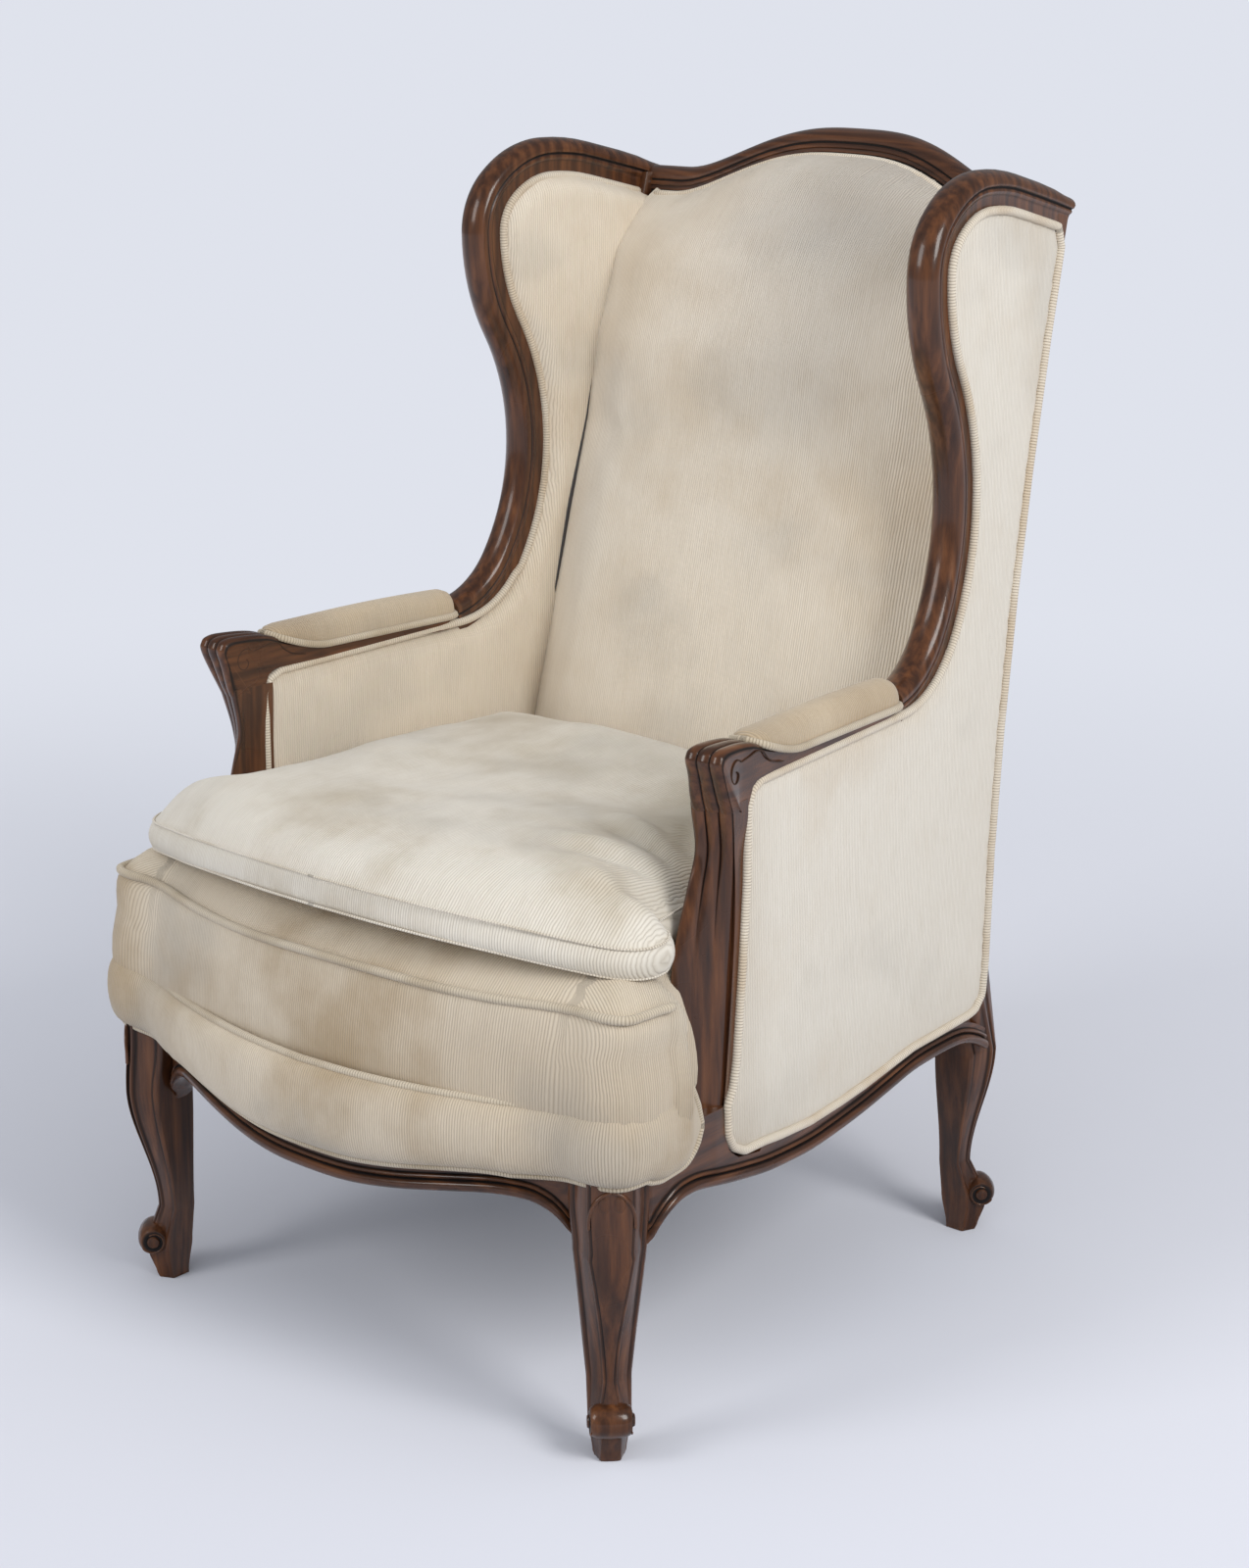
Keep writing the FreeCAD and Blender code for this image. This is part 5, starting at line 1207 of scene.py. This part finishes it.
def rib_run(piece):
    """Lays the ribs of a border upright, by the distance round the front of the seat."""
    values = []
    for v in piece.data.vertices:
        x, y = v.co.x, v.co.y
        turned = max(abs(x) - 0.24, 0.0)
        behind = max(y + 0.345, 0.0) if abs(x) > 0.25 else 0.0
        values.append(math.copysign(min(abs(x), 0.24) + turned * 0.6 + behind, x))
    piece.data.attributes["across"].data.foreach_set("value", values)


def corner_spread(x, y, z):
    """How far the platform's front corners stand out at a place, top and foot."""
    reach = ease((abs(x) - 225) / 60) * ease((-240 - y) / 30)
    return math.copysign((8.0 - 12.0 * (1 - ease((z - 345) / 50))) * reach, x)


rib_run(platform)
for v in platform.data.vertices:
    if v.co.z > 0.2915:
        v.co.x += corner_spread(*(v.co * 1000)) / 1000
platform.data.update()
settle(platform, border_cord, "ribbed_cloth", "seat_platform")
edge_pipe = flowing(seat_front(374.5, 29)[0], 6) + [(side_x(-281, 9), -281), (side_x(-272, 8), -272)]
edge_pipe = [(x + corner_spread(x, y, 403), y) for x, y in evened(round_the_front(edge_pipe), 5, False)]
edge_pipe = [upright(x, y, 403.5 + 1.5 * math.sin(x * 0.021 + 1)) for x, y in edge_pipe]
settle(tube("platform_piping", edge_pipe, 0.0040), seat_piping, "ribbed_cloth")

# Loose cushion: a feather cushion, T-shaped in plan, with a boxed border and a well-sat-in hollow
# towards the right-hand arm. It lies on the platform and lifts out.
CUSHION_HALF = [(0, -374), (65, -370), (130, -358), (200, -335.5), (250, -314), (277, -298), (291, -280),
                (294, -262), (288, -248), (274, -240), (266, -236), (264, -226), (260, -190), (252, -100),
                (243, 0), (236, 70), (229, 100), (212, 114), (150, 118), (70, 119)]
half = flowing(CUSHION_HALF, 4)
cushion_plan = list(half)
for x, y in reversed(half[1:]):
    # The left-hand ear has been pulled out of shape, further than the right-hand one.
    cushion_plan.append((-x - 9 * ease((x - 215) / 60) * ease((-245 - y) / 20),
                         y - 5 * ease((x - 100) / 120) * ease((-250 - y) / 40)))


def cushion_foot(x, y):
    return 433 + (14 - 24 * (x / 285) ** 2) * ease((-150 - y) / 170)


def cushion_bottom(x, y, gap):
    return cushion_foot(x, y) + (433 - cushion_foot(x, y)) * ease(gap / 60)


def cushion_top(x, y, gap):
    edge = cushion_foot(x, y) + 27
    return edge + (491 - edge) * dome(gap, 120, 2.6) + 6 * dome(gap, 16)


def seat_wear(x, y, z):
    dulled = 0.95 * dab(x, y, 190, -55, 65, 105) + 0.30 * dab(x, y, 60, 10, 90, 60)
    return 0.06 + 0.20 * ease((450 - z) / 20) + dulled


cushion = stuffed("seat_cushion", cushion_plan, 8.5, cushion_top, cushion_bottom, upright,
                  wall=((0.06, 2.2), (0.25, 4.6), (0.5, 5.8), (0.75, 5.0), (0.93, 2.4)), worn=seat_wear)
inflated(cushion, 3.0, 0.008, lambda x, y, z: ease((z - 436) / 30))


def sat_in(x, y):
    """How far sitting has pressed or creased the cushion's top at a place."""
    hollow = -15 * dab(x, y, 130, -60, 85, 75) - 5 * dab(x, y, -60, -120, 120, 90)
    mound = 7 * dab(x, y, -40, 55, 90, 50) + 4 * dab(x, y, 40, -250, 60, 50)
    away = math.hypot(x - 262, y + 175)
    turn = math.atan2(y + 175, x - 262)
    crease = 5.0 * math.sin(turn * 9 + 1.3) * math.exp(-((away - 75) / 50) ** 2)
    crease += 2.4 * math.sin(turn * 17 + away * 0.03) * math.exp(-((away - 95) / 45) ** 2)
    crease += 2.2 * math.sin(x * 0.045 + y * 0.03) * dab(x, y, -170, -60, 120, 110)
    ripple = 3.2 * noise.noise(Vector((x * 0.011, y * 0.014, 5.0)))
    ripple += 1.2 * noise.noise(Vector((x * 0.035, y * 0.04, 2.0)))
    return hollow + mound + crease + ripple


spots = np.array([tuple(v.co * 1000) for v in cushion.data.vertices])
for v, (x, y, z), gap in zip(cushion.data.vertices, spots, reach_to(spots[:, :2], evened(cushion_plan, 8))):
    if z > 458:
        v.co.z += sat_in(x, y) * ease(gap / 60) * ease((z - 458) / 20) / 1000
cushion.data.update()
rounding = cushion.modifiers.new("rounding", "SUBSURF")
rounding.levels = rounding.render_levels = 1
settle(cushion, seat_cord, "ribbed_cloth", "seat_cushion_cover", "seat_cushion_fill", body="seat_cushion")
cushion_piping = piped_cloth("piping_cushion", (0.76, 0.70, 0.60), (0.58, 0.50, 0.38))
for name, lift, out in (("cushion_seam_top", 26.5, 1.0002), ("cushion_seam_foot", 1.2, 1.003)):
    seam = [upright(x * out, y * out, cushion_foot(x, y) + lift) for x, y in evened(cushion_plan, 7)]
    seam = tube(name, seam, 0.0012, 8, closed=True)
    settle(seam, cushion_piping, "ribbed_cloth", body="seat_cushion")

# Arm pads: small stuffed pads with piped edges, tacked on the arm rails behind their carved ends.
PAD_FRONT, PAD_LENGTH = -154, 234


def rounded(from_end, radius):
    """Share of the pad's full width, this far from an end of that radius."""
    return math.sqrt(max(1 - max(1 - from_end / radius, 0) ** 2, 0))


rings, piping_line = [], []
for share in spread(0, 1, 30):
    y = PAD_FRONT + PAD_LENGTH * share
    round_end = max(rounded(share * PAD_LENGTH, 17) * rounded((1 - share) * PAD_LENGTH, 19), 0.10)
    base = 579.5 + 17 * max(0.0, (0.26 - share) / 0.26) ** 1.6
    half = 18.6 * round_end
    rise = (606.5 + 3.0 * math.sin(math.pi * share) - base) * (0.25 + 0.75 * round_end ** 0.7)
    ring = []
    for a in HALF_TURN:
        ring.append((half * math.sin(a), y, base + 3 + (rise - 3) * max(math.cos(a), 0) ** 0.72))
    ring += [(half * 0.98, y, base), (0, y, base), (-half * 0.98, y, base)]
    rings.append(ring)
    piping_line.append((half, y, base))
pad = swept("arm_pad", [[aside(*p) for p in ring] for ring in rings], sharp=80)
flat = [p for ring in rings for p in ring]
measure_points(pad, across=[y / 1000 for _, y, _ in flat], down=[n / 1000 for n, _, _ in flat],
               worn=[0.35 + 0.55 * ease((-60 - y) / 90) for _, y, _ in flat])
for piece in settle_pair(pad, "arm_pad_cover", arm_cord, "ribbed_cloth", "arm_pad"):
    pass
loop = [(n + 1.2, y, z + 3.2) for n, y, z in piping_line]
loop += [(-n, y, z) for n, y, z in reversed(loop)]
pipe = tube("arm_pad_piping", [aside(*p) for p in evened(loop, 4)], 0.0034, closed=True)
settle_pair(pipe, "arm_pad_piping", seat_piping, "ribbed_cloth")

# Springing and linings: jute straps, coil springs, hessian and a black dust cloth, all inside the frame
# or under it, where the chair shows them only when it is turned over.


def woven(name, light, dark, pitch):
    """A plain weave of coarse yarn."""
    weave = Finish(name)
    place = weave.node("TexCoord", {}, {}, 3)
    split = [weave.node("SeparateXYZ", {}, {"Vector": place}, k) for k in range(3)]
    warp = (split[0] * (math.pi / pitch)).wave()
    weft = ((split[1] + split[2]) * (math.pi / pitch)).wave()
    yarn = weave.mottle(weave.stretched(90, 90, 90), 1.0, 3.0)
    cross = warp * weft
    tone = weave.mix(cross * 0.5 + yarn * 0.5, dark, light)
    return weave.plain({"Base Color": tone, "Roughness": 0.95,
                        "Normal": weave.bump(cross + yarn * 0.3, 0.0006, 0.7)})


def laid(name, outline, pitch, place):
    """A single layer of cloth inside an outline."""
    outline = evened(outline, pitch)
    low, high = outline.min(0), outline.max(0)
    rows = np.arange(low[1], high[1], pitch)
    grid = np.array([(u, v) for u in np.arange(low[0], high[0], pitch) for v in rows])
    grid = grid[within(grid, outline)]
    grid = grid[reach_to(grid, outline) > pitch * 0.5]
    spots = [Vector(p) for p in np.vstack([outline, grid])]
    ring = [(i, (i + 1) % len(outline)) for i in range(len(outline))]
    verts, _, faces, _, _, _ = geometry.delaunay_2d_cdt(spots, ring, [], 1, 1e-5)
    return meshed(name, [place(v.x, v.y) for v in verts], [tuple(f) for f in faces], 80)


lining = woven("dust_cloth", (0.045, 0.045, 0.05), (0.012, 0.012, 0.014), 0.0012)
jute = woven("jute_webbing", (0.46, 0.36, 0.22), (0.20, 0.14, 0.08), 0.0022)
hessian = woven("hessian", (0.56, 0.45, 0.29), (0.26, 0.19, 0.11), 0.0018)
right_half = [(0, -371), (120, -356.5), (224, -319), (248, -284), (side_x(-278, -4), -278),
              (side_x(236, -4), 236), (225, 240)]
dust_outline = both_halves(right_half)
dust = laid("dust_cloth", dust_outline, 14,
            lambda x, y: upright(x, y, 244.9 - 1.6 * math.cos(x / 180) * math.cos(y / 210)))
settle(dust, lining, "lining", "dust_cover")
deck_outline = [(-201, -294), (201, -294), (201, 174), (-201, 174)]
deck = laid("spring_hessian", deck_outline, 16, lambda x, y: upright(x, y, 350.2))
settle(deck, hessian, "hessian", "seat_hessian")
back_lining_outline = [(-226, 440), (226, 440), (222, 900)]
back_lining_outline += [(x, crest_top(x) - 69) for x in (190, 120, 60, 0, -60, -120, -190)] + [(-222, 900)]
back_lining = laid("back_hessian_cloth", back_lining_outline, 20, lambda x, z: upright(x, lining_y(x, z), z))
settle(back_lining, hessian, "hessian", "back_hessian")
STRAP_WIDTH, STRAP_THICKNESS = 0.05, 0.0014


def strap(line, across, face):
    """A flat strap along a line of points, from the directions across it and out of its face."""
    side, thick = Vector(across) * STRAP_WIDTH / 2, Vector(face) * STRAP_THICKNESS / 2
    corners = (-side - thick, side - thick, side + thick, thick - side)
    return swept("strap", [[p + corner for corner in corners] for p in line])


straps = []
for i in range(6):
    y = -275 + 92 * i
    reach = side_x(y, -5)
    line = [upright(x, y, 247.6 + 0.75 * math.cos(math.pi * (x / 92 + i)))
            for x in np.linspace(-reach, reach, 60)]
    straps.append(strap(line, (0, 1, 0), (0, 0, 1)))
for i in (-2, -1, 0, 1, 2):
    x = 92 * i
    line = [upright(x, y, 247.6 - 0.75 * math.cos(math.pi * (i + (y + 275) / 92)))
            for y in np.linspace(front_face(x) + 20, 224, 60)]
    straps.append(strap(line, (1, 0, 0), (0, 0, 1)))
settle(joined("seat_straps", *straps), jute, "webbing", "seat_webbing")
straps = []
for i in range(4):
    z = 480 + 120 * i
    line = [upright(x, lining_y(x, z) + 2.4, z) for x in np.linspace(-225, 225, 30)]
    straps.append(strap(line, (0, 0.25, 0.97), (0, 0.97, -0.25)))
for i in (-1, 0, 1):
    x = 120 * i
    line = [upright(x, lining_y(x, z) + 3.9, z) for z in np.linspace(440, crest_top(x) - 70, 30)]
    straps.append(strap(line, (1, 0, 0), (0, 1, -0.2)))
settle(joined("back_straps", *straps), jute, "webbing", "back_webbing")
steel = Finish("coppered_wire")
rust = steel.mottle(steel.stretched(60, 60, 60), 1.0, 3.0).between(0.45, 0.7)
wire_finish = steel.plain({"Base Color": steel.mix(rust, (0.50, 0.42, 0.36), (0.28, 0.14, 0.07)),
                           "Metallic": 1 - rust * 0.5, "Roughness": 0.38 + rust * 0.3})
COIL_TURNS, COIL_POINTS = 6, 90
coils = []
for x, y in [(x, y) for x in (-130, 0, 130) for y in (-225, -75, 75)]:
    line = []
    for k in range(COIL_POINTS + 1):
        turn = k / COIL_POINTS * COIL_TURNS
        share = min(max((turn - 0.6) / (COIL_TURNS - 1.2), 0), 1)
        r = 24.2 + 14 * abs(2 * share - 1) ** 1.6
        a = math.tau * turn
        line.append(upright(x + r * math.cos(a), y + r * math.sin(a), 251 + 96 * share))
    coils.append(tube("coil", line, 0.0018, 6))
settle(joined("coil_springs", *coils), wire_finish, "spring_steel", "seat_springs")

# Hidden frame: back rails, stays and corner blocks of plain beech, as they came from the saw. Only the rear
# seat rail shows its lower edge behind, so it is stained to go with the show wood.


def beech(name, light, dark, fleck):
    """Sawn beech with its short dark flecks."""
    wood = Finish(name)
    figure = wood.mottle(wood.stretched(8, 60, 60), 1.0, 4.0, 0.6)
    flecks = wood.mottle(wood.stretched(60, 420, 420), 1.0, 1.0).between(0.6, 0.7)
    tone = wood.mix(flecks * 0.5, wood.mix(figure.between(0.35, 0.65), dark, light), fleck)
    return wood.plain({"Base Color": tone, "Roughness": 0.62 + 0.12 * figure,
                       "Normal": wood.bump(flecks + figure, 0.0004, 0.5)})


sawn = beech("beech_sawn", (0.62, 0.44, 0.27), (0.50, 0.33, 0.19), (0.36, 0.21, 0.11))
stained = beech("beech_stained", (0.105, 0.043, 0.019), (0.058, 0.024, 0.012), (0.030, 0.013, 0.008))
for name in ("back_seat_rail", "lower_back_rail", "side_stay_rail_left", "side_stay_rail_right",
             "front_corner_block_left", "front_corner_block_right", "back_corner_block_left",
             "back_corner_block_right"):
    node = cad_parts[name]
    node.data.materials.clear()
    node.data.materials.append(stained if name == "back_seat_rail" else sawn)
